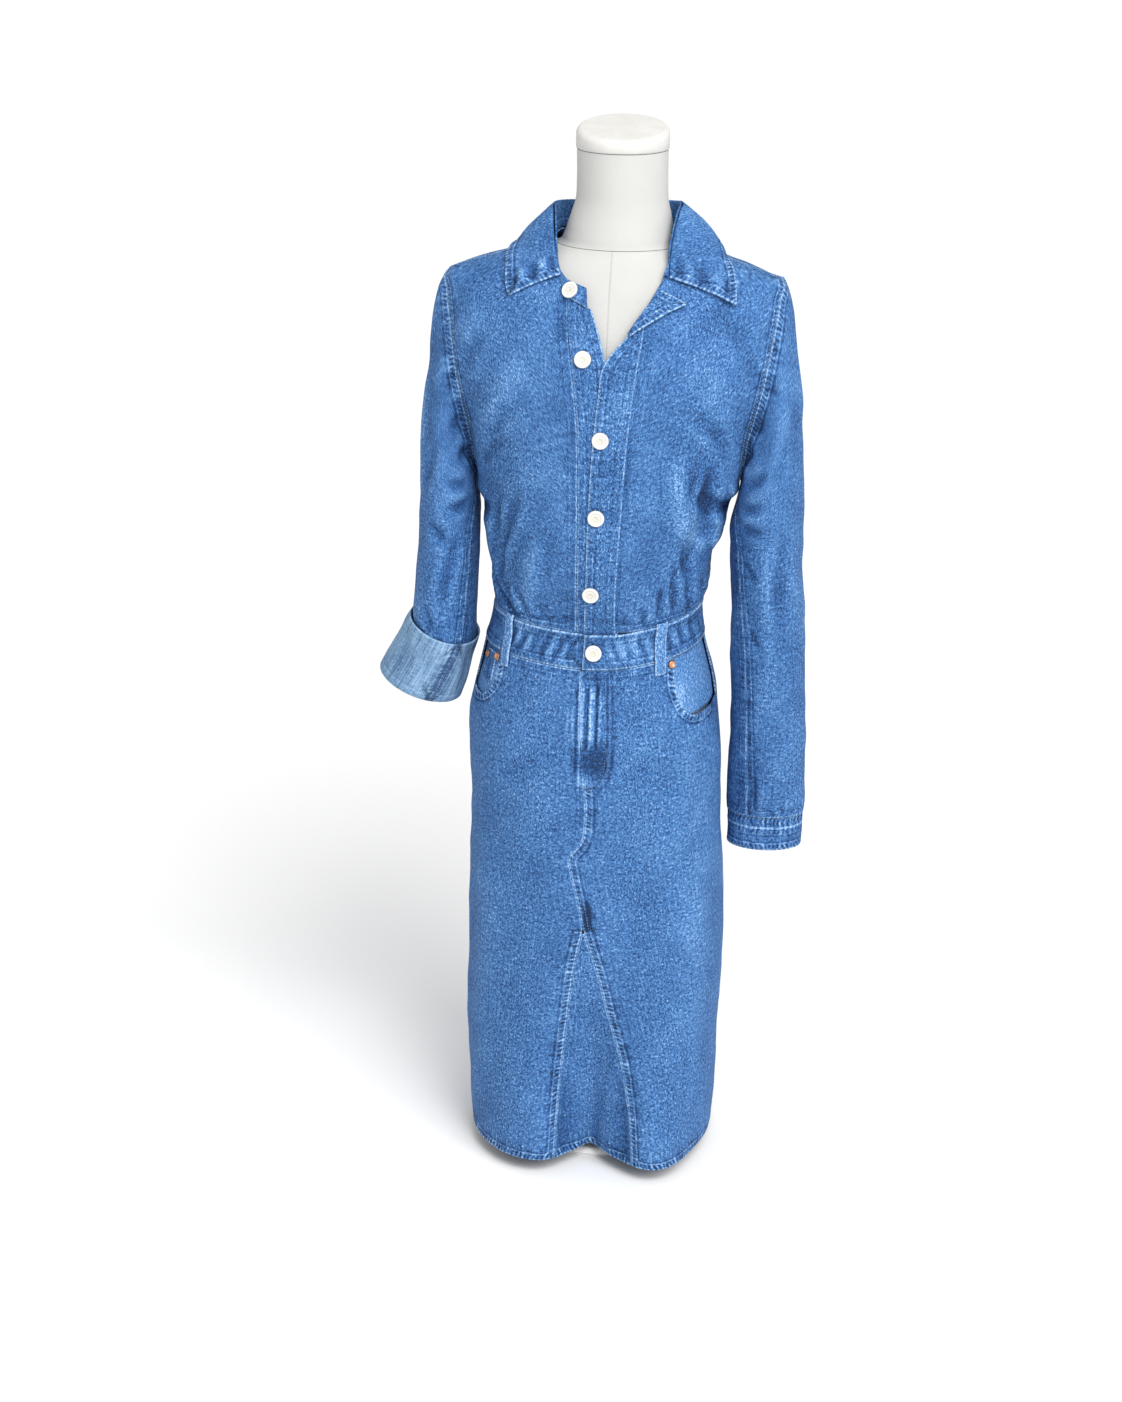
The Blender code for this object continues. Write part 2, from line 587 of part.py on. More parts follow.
def sleeve(name, side, sections, cap_rows, rows, columns):
    turn = (spread(0, 1, columns + 1)[:-1] - 0.5) * 2 * math.pi
    start, end = armhole(side, turn, inset=0.0016), ring(sections[0], turn)
    start[:, 0] += side * 0.0006
    reach = np.linalg.norm(end - start, axis=1)[:, None]
    leave = np.array([side * SLEEVE_OUTWARD[0], 0.0, SLEEVE_OUTWARD[1]]) * reach * 0.45
    arrive = ring(sections[1], turn) - end
    arrive *= reach / np.linalg.norm(arrive, axis=1)[:, None]
    t = spread(0, 1, cap_rows)[:-1, None, None]
    cap = ((2 * t**3 - 3 * t**2 + 1) * start + (t**3 - 2 * t**2 + t) * leave
           + (3 * t**2 - 2 * t**3) * end + (t**3 - t**2) * arrive)
    grid = np.concatenate([cap, tube(sections, rows, turn)])
    return cloth(name, wrapped(grid, side), closed=True)


def sleeves():
    sleeve("sleeve_right", -1, RIGHT_SLEEVE, 6, 7, 20)
    sleeve("sleeve_left", 1, LEFT_SLEEVE, 6, 7, 20)
    turn = (spread(0, 1, 21)[:-1] - 0.5) * 2 * math.pi
    band = wrapped(tube(TURN_UP, 4, turn), -1)
    cloth("sleeve_turn_up", band, closed=True, finish="denim_wrong_side")
    cloth("cuff_left", wrapped(tube(CUFF, 3, turn), 1), wall=DOUBLE, closed=True)


# ---- waistband and skirt --------------------------------------------------------------------------------
def waistband():
    """One band whose left end laps over its right end in front."""
    lap_edge, lap_end = -0.016, 0.019
    low, high = WAIST_LOW + SEAM, WAIST_HIGH - SEAM
    start = float(front_angle(np.array(lap_edge), np.array((low + high) / 2)))
    inner_end = float(front_angle(np.array(lap_end), np.array((low + high) / 2)))
    angle = np.concatenate([spread(start, inner_end, 5), spread(inner_end, inner_end + 2 * math.pi, 46)[1:]])
    drop = smooth_step(inner_end, inner_end + math.radians(14), angle)
    lift = 0.0012 + (DOUBLE + LIE) * (1 - drop)
    z = spread(low, high, 3)[:, None]
    grid = body_point(angle[None] + 0 * z, z + 0 * angle[None], lift[None] + 0 * z)
    return cloth("waistband", grid, wall=DOUBLE)


def belt_loop(name, angle):
    half_width = 0.0058
    z = np.array([0.5880, 0.5940, 0.6010, 0.6080, 0.6220, 0.6370, 0.6430, 0.6470])
    lift = np.array([0.0017, 0.0027, 0.0044, 0.0054, 0.0060, 0.0056, 0.0042, 0.0026])
    reach = np.linalg.norm(body_point(angle, z)[:, :2], axis=1)
    span = half_width / reach[:, None] * np.array([-1.0, 0.0, 1.0])[None]
    grid = body_point(angle + span, z[:, None] + 0 * span, lift[:, None] + 0 * span)
    return cloth(name, grid)


def skirt_front(name, side, seams, columns):
    """A skirt front: its inner edge follows the centre seam, then the gusset."""
    centre, gusset = seams
    z = np.concatenate([spread(HEM, GUSSET_TOP, 8), CENTRE_ROWS, spread(0.49, WAIST_LOW - SEAM, 4)])
    inner_x = np.where(z <= GUSSET_TOP, along(gusset, z, 1), along(centre, z, 1)) + side * SEAM / 2
    inner = front_angle(inner_x, z)
    outer = -SIDE_GAP if side > 0 else SIDE_GAP - math.pi
    u = seam_spread(0, 1, columns)[None]
    angle = inner[:, None] * (1 - u) + outer * u
    grid = body_point(angle, np.repeat(z[:, None], columns, axis=1))
    return cloth(name, grid if side > 0 else grid[:, ::-1])


def skirt_back(name, first, last):
    z = np.concatenate([spread(HEM, 0.30, 6), spread(0.36, WAIST_LOW - SEAM, 5)])
    angle = seam_spread(first, last, 10)
    return cloth(name, body_point(angle[None] + 0 * z[:, None], z[:, None] + 0 * angle[None]))


def gusset():
    z = spread(HEM, GUSSET_TOP, 8)
    z[-1] = GUSSET_TOP - 0.009
    left = along(GUSSET_RIGHT, z, 1) + SEAM / 2
    right = along(GUSSET_LEFT, z, 1) - SEAM / 2
    x = left[:, None] + (right - left)[:, None] * seam_spread(0, 1, 7)[None]
    return cloth("skirt_gusset", front_point(x, np.repeat(z[:, None], 7, axis=1)))


def pocket_cutter(side, name):
    """The scoop cut from a skirt front for the pocket mouth: a prism along Y over that side's hip."""
    corner, low, _ = POCKETS[side]
    far = side * 0.175
    above, start = WAIST_LOW + 0.040, WAIST_LOW + 0.004
    outline = [(corner, above), (corner, start)]
    for k in range(1, 8):
        swing = math.pi / 2 * k / 8
        outline.append((corner + side * 0.028 * (1 - math.cos(swing)), low + (start - low) * (1 - math.sin(swing))))
    outline += [(corner + side * 0.028, low), (far, low + 0.010), (far, above)]
    mesh = bmesh.new()
    near = [mesh.verts.new((x, -0.16, z)) for x, z in outline]
    mesh.faces.new(near)
    out = bmesh.ops.extrude_face_region(mesh, geom=mesh.faces[:])
    back = [g for g in out["geom"] if isinstance(g, bmesh.types.BMVert)]
    bmesh.ops.translate(mesh, verts=back, vec=(0, 0.16 + 0.002, 0))
    bmesh.ops.recalc_face_normals(mesh, faces=mesh.faces[:])
    data = bpy.data.meshes.new(name)
    mesh.to_mesh(data)
    mesh.free()
    cutter = add_object(name, data, None, "cutters")
    cutter.hide_render = True
    cutter.display_type = "WIRE"
    return cutter


def cut(piece, cutter):
    cutting = piece.modifiers.new("cut", "BOOLEAN")
    cutting.object = cutter
    cutting.operation = "DIFFERENCE"
    cutting.solver = "EXACT"


def pocket_facing(name, side):
    corner, low, seam_angle = POCKETS[side]
    z = spread(low - 0.010, WAIST_LOW - SEAM, 6)
    inner = front_angle(np.full(len(z), corner - side * 0.010), z)
    u = spread(0, 1, 6)[None]
    angle = inner[:, None] * (1 - u) + seam_angle * u
    grid = body_point(angle, z[:, None] + 0 * angle, -(CLOTH + 0.0015))
    return cloth(name, grid if side > 0 else grid[:, ::-1], wall=0.001, finish="pocket_denim")


def coin_pocket():
    z = spread(0.566, 0.5965, 4)
    angle = np.radians(spread(-160.0, -149.0, 4))
    grid = body_point(angle[None] + 0 * z[:, None], z[:, None] + 0 * angle[None], -0.0013)
    return cloth("coin_pocket", grid, wall=0.001)


# ---- trims ----------------------------------------------------------------------------------------------
def button(name, point, outward):
    r = BUTTON_RADIUS
    profile = [(0, 0.0041), (r * 0.60, 0.0040), (r * 0.74, 0.0046), (r * 0.93, 0.0042), (r, 0.0030),
               (r * 0.88, 0.0018), (r * 0.36, 0.0013), (r * 0.33, 0.0004), (0, 0.0004)]
    place_on_cloth(turned(name, profile, 20, "button_pearl"), point, outward)


def front_buttons():
    for k, (x, z, lift) in enumerate(BUTTONS):
        point = front_point(np.array(x), np.array(z))
        outward = slope(point)
        outward /= np.linalg.norm(outward)
        if k == 0:
            point = np.array([-0.0370, -0.0830, 1.0130])
            outward = np.array([-0.35, -0.80, 0.50])
        button(f"button_{k + 1}", point + outward * lift, outward)


def cuff_button():
    x, y, _, half, depth, _ = CUFF[0]
    turn = math.radians(70)
    outward = Vector((math.cos(turn) / half, math.sin(turn) / depth, 0)).normalized()
    button("button_cuff", (x + half * math.cos(turn), y + depth * math.sin(turn), 0.389), outward)


def rivet(name, x, z, lift):
    point = front_point(np.array(x), np.array(z))
    outward = slope(point)
    outward /= np.linalg.norm(outward)
    r = RIVET_RADIUS
    profile = [(0, 0.0012), (r * 0.45, 0.0012), (r * 0.55, 0.0018), (r * 0.85, 0.0016), (r, 0.0008), (r, 0.0),
               (0, 0.0)]
    place_on_cloth(turned(name, profile, 12, "rivet_copper"), point + outward * (lift + LIE), outward)


# ---- dress form and stand -------------------------------------------------------------------------------
def form_ring(z, turn):
    half, front, back, shift, power = section(z, FORM)
    c, s = np.cos(turn), np.sin(turn)
    depth = np.where(s < 0, front, back)
    x = shift + half * np.sign(c) * np.abs(c) ** (2 / power)
    y = depth * np.sign(s) * np.abs(s) ** (2 / power)
    return np.stack([x, y, z + 0 * x], axis=-1)


def dress_form():
    turn = spread(-math.pi, math.pi, 33)[:-1]
    torso = [0.445, 0.450, 0.462, 0.49, 0.54, 0.59, 0.63, 0.67, 0.72, 0.78, 0.84, 0.90, 0.95, 0.98, 0.998, 1.008,
             1.014, 1.020, 1.028, 1.036, 1.044, NECK_SEAM - SEAM]
    solid("form_torso", np.stack([form_ring(z, turn) for z in torso]), "form_fabric")
    neck = [NECK_SEAM, 1.055, 1.060, 1.065, 1.070, 1.080, 1.090, 1.100, 1.115, CAP_LOW - SEAM]
    solid("form_neck", np.stack([form_ring(z, turn) for z in neck]), "form_fabric")
    solid("form_neck_cap", neck_cap(), "cap_paint")


def neck_cap():
    """Rings of the cap: upright sides, then a rounded edge and a flat top that slopes to the front."""
    turn = spread(-math.pi, math.pi, 37)[:-1]
    round_in = np.array([0.0015, 0.0, 0.0, 0.0004, 0.0016, 0.0034, 0.0060])
    below_top = np.array([0.0, 0.0, 0.0062, 0.0034, 0.0014, 0.0004, 0.0])
    rings = []
    for k, (inset, below) in enumerate(zip(round_in, below_top)):
        r = CAP_RADIUS - inset
        x, y = NECK_SHIFT + r * np.cos(turn), r * np.sin(turn)
        low = CAP_LOW + (0.0, 0.0015)[min(k, 1)] + 0 * y
        rings.append(np.stack([x, y, low if k < 2 else CAP_MIDDLE + CAP_SLANT * y - below], axis=-1))
    return np.stack(rings)


def stand():
    turned("form_pole", [(0, 0.445 - SEAM), (POLE_RADIUS, 0.445 - SEAM), (POLE_RADIUS, BASE_THICKNESS + SEAM),
                         (0, BASE_THICKNESS + SEAM)], 20, "stand_paint")
    r, t = BASE_RADIUS, BASE_THICKNESS
    turned("form_base", [(0, t), (r - 0.006, t), (r - 0.002, t - 0.002), (r, t - 0.005), (r, 0.0), (0, 0.0)], 40,
           "stand_paint")


def main():
    for old in list(bpy.data.objects):
        bpy.data.objects.remove(old, do_unlink=True)
    for group in ("denim_shirt_dress", "cutters"):
        bpy.context.scene.collection.children.link(bpy.data.collections.new(group))
    stand()
    dress_form()
    front_panel("bodice_front_right", -1, UNDER_SEAM, 9.98, 11)
    front_panel("bodice_front_left", 1, LEFT_FRONT_EDGE, 0.0, 11)
    back_panel()
    plackets()
    turned_corner()
    collar_stand()
    collar_leaf()
    sleeves()
    waistband()
    for name, angle in zip(("right_front", "left_front", "left_back", "centre_back", "right_back"), LOOPS):
        belt_loop(f"belt_loop_{name}", math.radians(angle))
    right = skirt_front("skirt_front_right", -1, (CENTRE_SEAM, GUSSET_RIGHT), 11)
    left = skirt_front("skirt_front_left", 1, (CENTRE_SEAM, GUSSET_LEFT), 11)
    cut(right, pocket_cutter(-1, "pocket_mouth_right"))
    cut(left, pocket_cutter(1, "pocket_mouth_left"))
    gusset()
    skirt_back("skirt_back_left", SIDE_GAP, math.pi / 2 - SIDE_GAP)
    skirt_back("skirt_back_right", math.pi / 2 + SIDE_GAP, math.pi - SIDE_GAP)
    pocket_facing("pocket_facing_right", -1)
    pocket_facing("pocket_facing_left", 1)
    coin_pocket()
    front_buttons()
    cuff_button()
    rivet("rivet_left", 0.0775, 0.5950, -0.0003)
    rivet("rivet_right", -0.1130, 0.5940, 0.0)
    rivet("rivet_coin_pocket", -0.1270, 0.5900, -0.0013)


main()
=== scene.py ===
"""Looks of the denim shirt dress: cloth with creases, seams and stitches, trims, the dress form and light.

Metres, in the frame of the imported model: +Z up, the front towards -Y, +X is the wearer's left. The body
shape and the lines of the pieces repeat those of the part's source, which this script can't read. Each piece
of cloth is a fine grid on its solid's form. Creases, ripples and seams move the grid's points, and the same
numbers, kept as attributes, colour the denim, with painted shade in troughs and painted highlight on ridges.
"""
import math

import bmesh
import bpy
import numpy as np
from mathutils import Matrix, Vector
from mathutils.bvhtree import BVHTree

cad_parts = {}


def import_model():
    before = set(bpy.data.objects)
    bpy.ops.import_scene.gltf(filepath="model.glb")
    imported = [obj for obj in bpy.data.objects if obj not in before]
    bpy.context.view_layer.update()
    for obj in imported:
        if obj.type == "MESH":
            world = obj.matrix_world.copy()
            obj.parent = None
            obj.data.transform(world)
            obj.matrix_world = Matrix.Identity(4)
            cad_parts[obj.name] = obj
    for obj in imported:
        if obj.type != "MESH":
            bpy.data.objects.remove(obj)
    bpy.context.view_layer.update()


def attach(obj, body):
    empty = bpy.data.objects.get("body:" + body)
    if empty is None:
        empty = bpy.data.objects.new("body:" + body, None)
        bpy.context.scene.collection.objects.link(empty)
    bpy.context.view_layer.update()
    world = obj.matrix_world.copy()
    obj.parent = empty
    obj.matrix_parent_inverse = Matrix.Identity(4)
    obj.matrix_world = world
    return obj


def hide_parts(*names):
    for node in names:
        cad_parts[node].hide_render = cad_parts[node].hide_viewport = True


# ---- driving dimensions, as in the part -----------------------------------------------------------------
CLOTH = 0.0015            # one layer of denim
DOUBLE = 0.0022           # two layers
LIE = 0.0005              # gap between a piece and the one it lies on
SEAM = 0.0003             # gap between two pieces at a seam; the part leaves twice as much
CELL = 0.0036             # step of the cloth's grids
ROUND = 2.3               # exponent of the body's sections
ROUND_TOP = 1.95          # the same over the shoulders
HEM = 0.020
WAIST_LOW = 0.602
WAIST_HIGH = 0.642
UNDERARM = 0.800
SHOULDER_TIP = 1.018
BUTTON_RADIUS = 0.009
RIVET_RADIUS = 0.0045
BASE_RADIUS = 0.070
BASE_THICKNESS = 0.008
POLE_RADIUS = 0.011
FORM_LOW = 0.445
NECK_SEAM = 1.050
NECK_SHIFT = 0.0065
CAP_RADIUS = 0.0488
CAP_LOW = 1.1480
CAP_MIDDLE = 1.1700
CAP_SLANT = 0.17
GUSSET_TOP = 0.311
FLY_LOW = 0.478
COLLAR_LIFT = 0.0016      # how far the collar's seam lies off the body
SIDE_GAP = 0.0012         # half the side seam's gap, as an angle in radians
STITCH = 0.0022           # length of a stitch, and from one stitch to the next
STITCH_PITCH = 0.0033
THREAD = 0.00030          # radius of the thread
FORM_CLEAR = 0.0024       # least distance of the cloth's outer face from the form
FORM_SEAM = 0.0006        # gap between two pieces of the form
OVER_TOP = 0.985          # where the over placket ends, and its corner turns out
SEAM_REACH = 0.05         # the seam distance kept for cloth that is farther from any seam
HELD_REACH = 0.010        # over this distance a seam holds creases and ripples flat
HELD_SHARE = 0.30         # the share of their height that is left on the seam
TONE_LOW, TONE_HIGH = -0.30, 0.26    # limits of the painted shading that creases give: painted shade below 0, painted highlight above

# Sections of the dress: height, half width, depth to the front and to the back, sideways shift.
BODY = np.array([
    (0.020, 0.1394, 0.1290, 0.112, -0.0070),
    (0.060, 0.1418, 0.1285, 0.114, -0.0065),
    (0.165, 0.1448, 0.1275, 0.117, -0.0078),
    (0.290, 0.1456, 0.1265, 0.118, -0.0055),
    (0.345, 0.1432, 0.1250, 0.118, -0.0068),
    (0.440, 0.1400, 0.1225, 0.119, -0.0093),
    (0.490, 0.1405, 0.1200, 0.118, -0.0105),
    (0.536, 0.1374, 0.1160, 0.112, -0.0118),
    (0.560, 0.1334, 0.1120, 0.106, -0.0116),
    (0.602, 0.1238, 0.1035, 0.094, -0.0118),
    (0.642, 0.1142, 0.0990, 0.085, -0.0105),
    (0.654, 0.1130, 0.1020, 0.087, -0.0100),
    (0.677, 0.1165, 0.1090, 0.092, -0.0070),
    (0.700, 0.1190, 0.1140, 0.097, -0.0075),
    (0.725, 0.1245, 0.1175, 0.100, -0.0085),
    (0.746, 0.1290, 0.1190, 0.103, -0.0060),
    (0.768, 0.1350, 0.1200, 0.105, -0.0040),
    (0.790, 0.1395, 0.1210, 0.106, -0.0015),
    (0.840, 0.1510, 0.1210, 0.108, 0.0000),
    (0.915, 0.1735, 0.1160, 0.107, 0.0015),
    (0.970, 0.1815, 0.1010, 0.099, 0.0020),
    (1.000, 0.1825, 0.0880, 0.089, 0.0015),
    (1.017, 0.1775, 0.0780, 0.080, 0.0010),
    (1.029, 0.1450, 0.0710, 0.075, 0.0010),
    (1.039, 0.1130, 0.0650, 0.072, 0.0015),
    (1.049, 0.0860, 0.0600, 0.069, 0.0020),
    (1.057, 0.0680, 0.0560, 0.064, 0.0030),
    (1.070, 0.0560, 0.0510, 0.058, 0.0040),
    (1.090, 0.0520, 0.0480, 0.052, 0.0050),
])

# The dress form inside, in the same columns.
FORM = np.array([
    (0.4450, 0.1130, 0.0940, 0.0930, -0.0090),
    (0.4500, 0.1200, 0.1000, 0.0990, -0.0095),
    (0.4700, 0.1270, 0.1050, 0.1040, -0.0100),
    (0.5200, 0.1280, 0.1040, 0.1020, -0.0110),
    (0.5600, 0.1210, 0.0990, 0.0940, -0.0120),
    (0.6020, 0.1110, 0.0910, 0.0820, -0.0120),
    (0.6420, 0.1045, 0.0880, 0.0750, -0.0100),
    (0.6800, 0.1065, 0.0930, 0.0790, -0.0080),
    (0.7460, 0.1180, 0.1040, 0.0890, -0.0045),
    (0.8000, 0.1250, 0.1100, 0.0950, -0.0010),
    (0.8400, 0.1300, 0.1120, 0.0980, 0.0000),
    (0.9150, 0.1450, 0.1070, 0.0980, 0.0000),
    (0.9700, 0.1620, 0.0930, 0.0930, 0.0010),
    (0.9980, 0.1680, 0.0810, 0.0830, 0.0015),
    (1.0140, 0.1630, 0.0740, 0.0760, 0.0010),
    (1.0260, 0.1380, 0.0670, 0.0710, 0.0010),
    (1.0360, 0.1080, 0.0610, 0.0675, 0.0015),
    (1.0440, 0.0820, 0.0560, 0.0640, 0.0030),
    (1.0500, 0.0655, 0.0540, 0.0610, 0.0045),
    (1.0600, 0.0585, 0.0530, 0.0575, 0.0052),
    (1.0700, 0.0555, 0.0515, 0.0545, 0.0058),
    (1.0800, 0.0528, 0.0500, 0.0515, 0.0065),
    (1.0950, 0.0488, 0.0485, 0.0490, 0.0070),
    (1.1150, 0.0478, 0.0478, 0.0478, 0.0070),
    (1.1500, 0.0478, 0.0478, 0.0478, 0.0065),
])

# Folds of the body shape, one a row: angle in plan and half width in degrees, depth (less than 0 swells),
# then the heights where it starts, is full, is still full, and is gone.
FOLDS = np.array([
    (-84.0, 17.0, 0.0560, -1.0, -0.9, 0.00, 0.30),
    (-57.0, 19.0, -0.0230, -1.0, -0.9, 0.00, 0.20),
    (-122.0, 18.0, -0.0060, -1.0, -0.9, 0.00, 0.20),
    (66.0, 15.0, 0.0260, -1.0, -0.9, 0.00, 0.32),
    (112.0, 17.0, -0.0080, -1.0, -0.9, 0.00, 0.26),
    (148.0, 13.0, 0.0140, -1.0, -0.9, 0.00, 0.24),
    (22.0, 12.0, -0.0060, -1.0, -0.9, 0.00, 0.24),
    (-33.0, 9.0, 0.0110, 0.700, 0.735, 0.765, 0.830),
    (-147.0, 9.0, 0.0060, 0.690, 0.720, 0.750, 0.810),
    (40.0, 10.0, 0.0080, 0.690, 0.720, 0.760, 0.830),
    (138.0, 10.0, 0.0070, 0.690, 0.720, 0.760, 0.830),
])

# How far the waistline and all near it is raised round the body: angle in plan in degrees, rise.
WAIST_RISE = np.array([
    (-180.0, 0.0110), (-140.0, 0.0110), (-116.0, 0.0080), (-92.0, 0.0055), (-65.0, 0.0080), (-49.0, 0.0120),
    (-12.0, 0.0200), (20.0, 0.0180), (60.0, 0.0100), (100.0, 0.0060), (140.0, 0.0070), (180.0, 0.0110),
])

# Lines on the front, each from low to high: height and x. The waistline's rise is added to the heights.
UNDER_SEAM = np.array([(0.642, -0.024), (0.800, -0.0235), (0.886, -0.026), (0.926, -0.031), (0.965, -0.037),
                       (1.004, -0.040), (1.020, -0.041)])
UNDER_EDGE = np.array([(0.642, 0.006), (0.800, 0.008), (0.900, 0.007), (0.946, 0.002), (0.967, -0.004),
                       (1.000, -0.016), (1.015, -0.020)])
OVER_EDGE = np.array([(0.642, -0.016), (0.700, -0.014), (0.782, -0.012), (0.865, -0.008), (0.908, -0.004),
                      (0.944, 0.002), (0.958, 0.012), (0.970, 0.023), (0.985, 0.034)])
OVER_SEAM = np.array([(0.642, 0.0175), (0.691, 0.018), (0.784, 0.023), (0.867, 0.028), (0.888, 0.030),
                      (0.942, 0.036), (0.962, 0.039), (0.985, 0.041)])
LEFT_FRONT_EDGE = np.array([(0.642, 0.0085), (0.800, 0.0105), (0.900, 0.0115), (0.944, 0.0130),
                            (0.958, 0.018), (0.970, 0.026), (0.995, 0.039), (1.015, 0.051), (1.026, 0.058)])
CENTRE_SEAM = np.array([(0.311, -0.009), (0.346, -0.016), (0.381, -0.024), (0.397, -0.026), (0.412, -0.014),
                        (0.441, -0.009), (0.482, -0.011), (0.531, -0.017), (0.602, -0.018)])
GUSSET_RIGHT = np.array([(0.020, -0.039), (0.122, -0.033), (0.200, -0.026), (0.274, -0.017),
                         (0.311, -0.0095)])
GUSSET_LEFT = np.array([(0.020, 0.051), (0.051, 0.049), (0.152, 0.034), (0.203, 0.020), (0.258, 0.008),
                        (0.311, -0.0085)])

# The collar, from the wearer's left front end round the back to the right: its seam with the neckline in
# plan, the roll line, and the leaf's outer edge.
COLLAR = np.array([
    (0.0580, -0.0660, 0.0620, -0.0670, 1.0260, 0.1340, -0.0720, 1.0030),
    (0.0650, -0.0450, 0.0620, -0.0450, 1.0560, 0.1290, -0.0450, 1.0240),
    (0.0685, -0.0180, 0.0660, -0.0140, 1.0840, 0.1200, -0.0160, 1.0420),
    (0.0675, 0.0120, 0.0680, 0.0180, 1.0900, 0.1090, 0.0180, 1.0480),
    (0.0520, 0.0490, 0.0540, 0.0510, 1.0850, 0.0800, 0.0740, 1.0300),
    (0.0040, 0.0680, 0.0040, 0.0680, 1.0800, 0.0040, 0.0920, 1.0180),
    (-0.0440, 0.0490, -0.0480, 0.0510, 1.0830, -0.0740, 0.0730, 1.0280),
    (-0.0590, 0.0120, -0.0640, 0.0180, 1.0860, -0.1030, 0.0180, 1.0430),
    (-0.0620, -0.0190, -0.0620, -0.0130, 1.0800, -0.1080, -0.0130, 1.0370),
    (-0.0580, -0.0480, -0.0570, -0.0450, 1.0540, -0.1050, -0.0440, 1.0220),
    (-0.0440, -0.0790, -0.0470, -0.0720, 1.0280, -0.1010, -0.0740, 1.0030),
    (-0.0190, -0.0900, -0.0215, -0.0850, 1.0170, -0.0750, -0.0840, 0.9900),
])
STAND_STATIONS = 11.0
LEAF_STATIONS = 10.0      # the leaf ends one station before the stand
LEAF_CROWN = 0.016        # how far the leaf bows out between its fold and its edge
LEAF_WAVES = [    # share of the leaf's depth, depth of the wave
    (0.10, 0.0030), (0.30, -0.0032), (0.52, 0.0034), (0.74, -0.0026), (0.90, 0.0024),
]
LEAF_DENTS = (0.30, 0.46, 0.58, 0.71)      # shares of its length
SHOULDER_STATIONS = {1: 2.60, -1: 7.38}

# Sleeve sections from the elbow down: centre, half width, half depth, tilt in degrees about Y.
RIGHT_SLEEVE = np.array([
    (-0.1750, -0.003, 0.740, 0.0330, 0.0620, 0.0),
    (-0.1770, -0.004, 0.690, 0.0340, 0.0600, 1.0),
    (-0.1795, -0.005, 0.642, 0.0345, 0.0580, 6.0),
    (-0.1812, -0.005, 0.612, 0.0355, 0.0570, 14.0),
    (-0.1885, -0.005, 0.5910, 0.0395, 0.0580, 20.0),
    (-0.1975, -0.005, 0.5710, 0.0430, 0.0590, 20.0),
    (-0.2065, -0.005, 0.5552, 0.0460, 0.0610, 20.0),
])
LEFT_SLEEVE = np.array([
    (0.1720, -0.002, 0.740, 0.0400, 0.062, 0.0),
    (0.1735, 0.001, 0.690, 0.0400, 0.0585, 0.0),
    (0.1765, 0.004, 0.640, 0.0400, 0.055, 0.0),
    (0.1803, 0.010, 0.560, 0.0415, 0.0485, 0.0),
    (0.1815, 0.016, 0.480, 0.0430, 0.0415, 0.0),
    (0.1820, 0.020, 0.430, 0.0440, 0.037, 0.0),
    (0.1820, 0.022, 0.4096, 0.0435, 0.0335, 0.0),
])
TURN_UP = np.array([
    (-0.1800, -0.005, 0.6210, 0.0405, 0.0630, 20.0),
    (-0.1885, -0.005, 0.5986, 0.0435, 0.0630, 20.0),
    (-0.1975, -0.005, 0.5765, 0.0465, 0.0630, 20.0),
    (-0.2070, -0.005, 0.5550, 0.0485, 0.0640, 20.0),
])
CUFF = np.array([
    (0.1820, 0.022, 0.4090, 0.0425, 0.0310, 0.0),
    (0.1820, 0.022, 0.3690, 0.0420, 0.0305, 0.0),
])
SLEEVE_OUTWARD = (0.50, -0.87)

BUTTONS = [  # x, height, lift of the cloth it is sewn to
    (-0.0370, 1.0080, 0.0002), (-0.0210, 0.9470, 0.0), (0.0000, 0.8660, 0.0020), (-0.0030, 0.7830, 0.0020),
    (-0.0080, 0.6930, 0.0020), (-0.0050, 0.6210, 0.0046),
]
LOOPS = {     # angle in plan, in degrees
    "right_front": -140.0, "left_front": -48.0, "left_back": 35.0, "centre_back": 90.0, "right_back": 145.0,
}
POCKETS = {   # x of the mouth's inner corner and its lowest point, for the left and the right
    1: (0.0800, 0.549), -1: (-0.1110, 0.558),
}
POCKET_REACH = 0.028      # how far the mouth's curve goes sideways
POCKET_START = WAIST_LOW + 0.004
POCKET_FAR = 0.175        # past the mouth's curve, its rim rises a little to this x
POCKET_RISE = 0.010
FRONT_LIMIT = 0.010       # the pocket's mouth is cut only in cloth that lies before this y
FLY_CURVE = np.array([    # the fly's stitches: x, height, and how far the second row goes inwards and up
    (0.0125, 0.597, 1.0, 0.0), (0.0150, 0.545, 1.0, 0.0), (0.0150, 0.505, 1.0, 0.0),
    (0.0110, 0.488, 0.8, 0.7),
    (0.0020, 0.478, 0.3, 1.0), (-0.0090, 0.474, 0.0, 1.0),
])
SKIRT_LENGTH = 0.600
FRONT_WIDTH = 0.140       # widths that set the number of a panel's columns
BACK_WIDTH = 0.330
BODICE_ROWS = (42, 74, 34)            # rows at the side seam, the armhole and the shoulder seam
NECK_CORNERS = {1: 0.0665, -1: -0.0613}    # x where the shoulder seam meets the neckline
ARMHOLE_FRONT, ARMHOLE_BACK = 0.050, 0.054
BAND_LIFT = 0.0012        # the waistband over the body
BAND_LAP = (-0.016, 0.019)            # x of the lapped end and of the end under it
SKIRT_SHADE = 0.45        # how much painted shade and highlight the skirt's creases give it

# The belt loops' profile: height and distance from the body.
LOOP_PROFILE = np.array([
    (0.5880, 0.0017), (0.5940, 0.0027), (0.6010, 0.0044), (0.6080, 0.0054),
    (0.6220, 0.0060), (0.6370, 0.0056), (0.6430, 0.0042), (0.6470, 0.0026),
])
LOOP_HALF_WIDTH = 0.0058
LOOP_BULGE = 0.0006

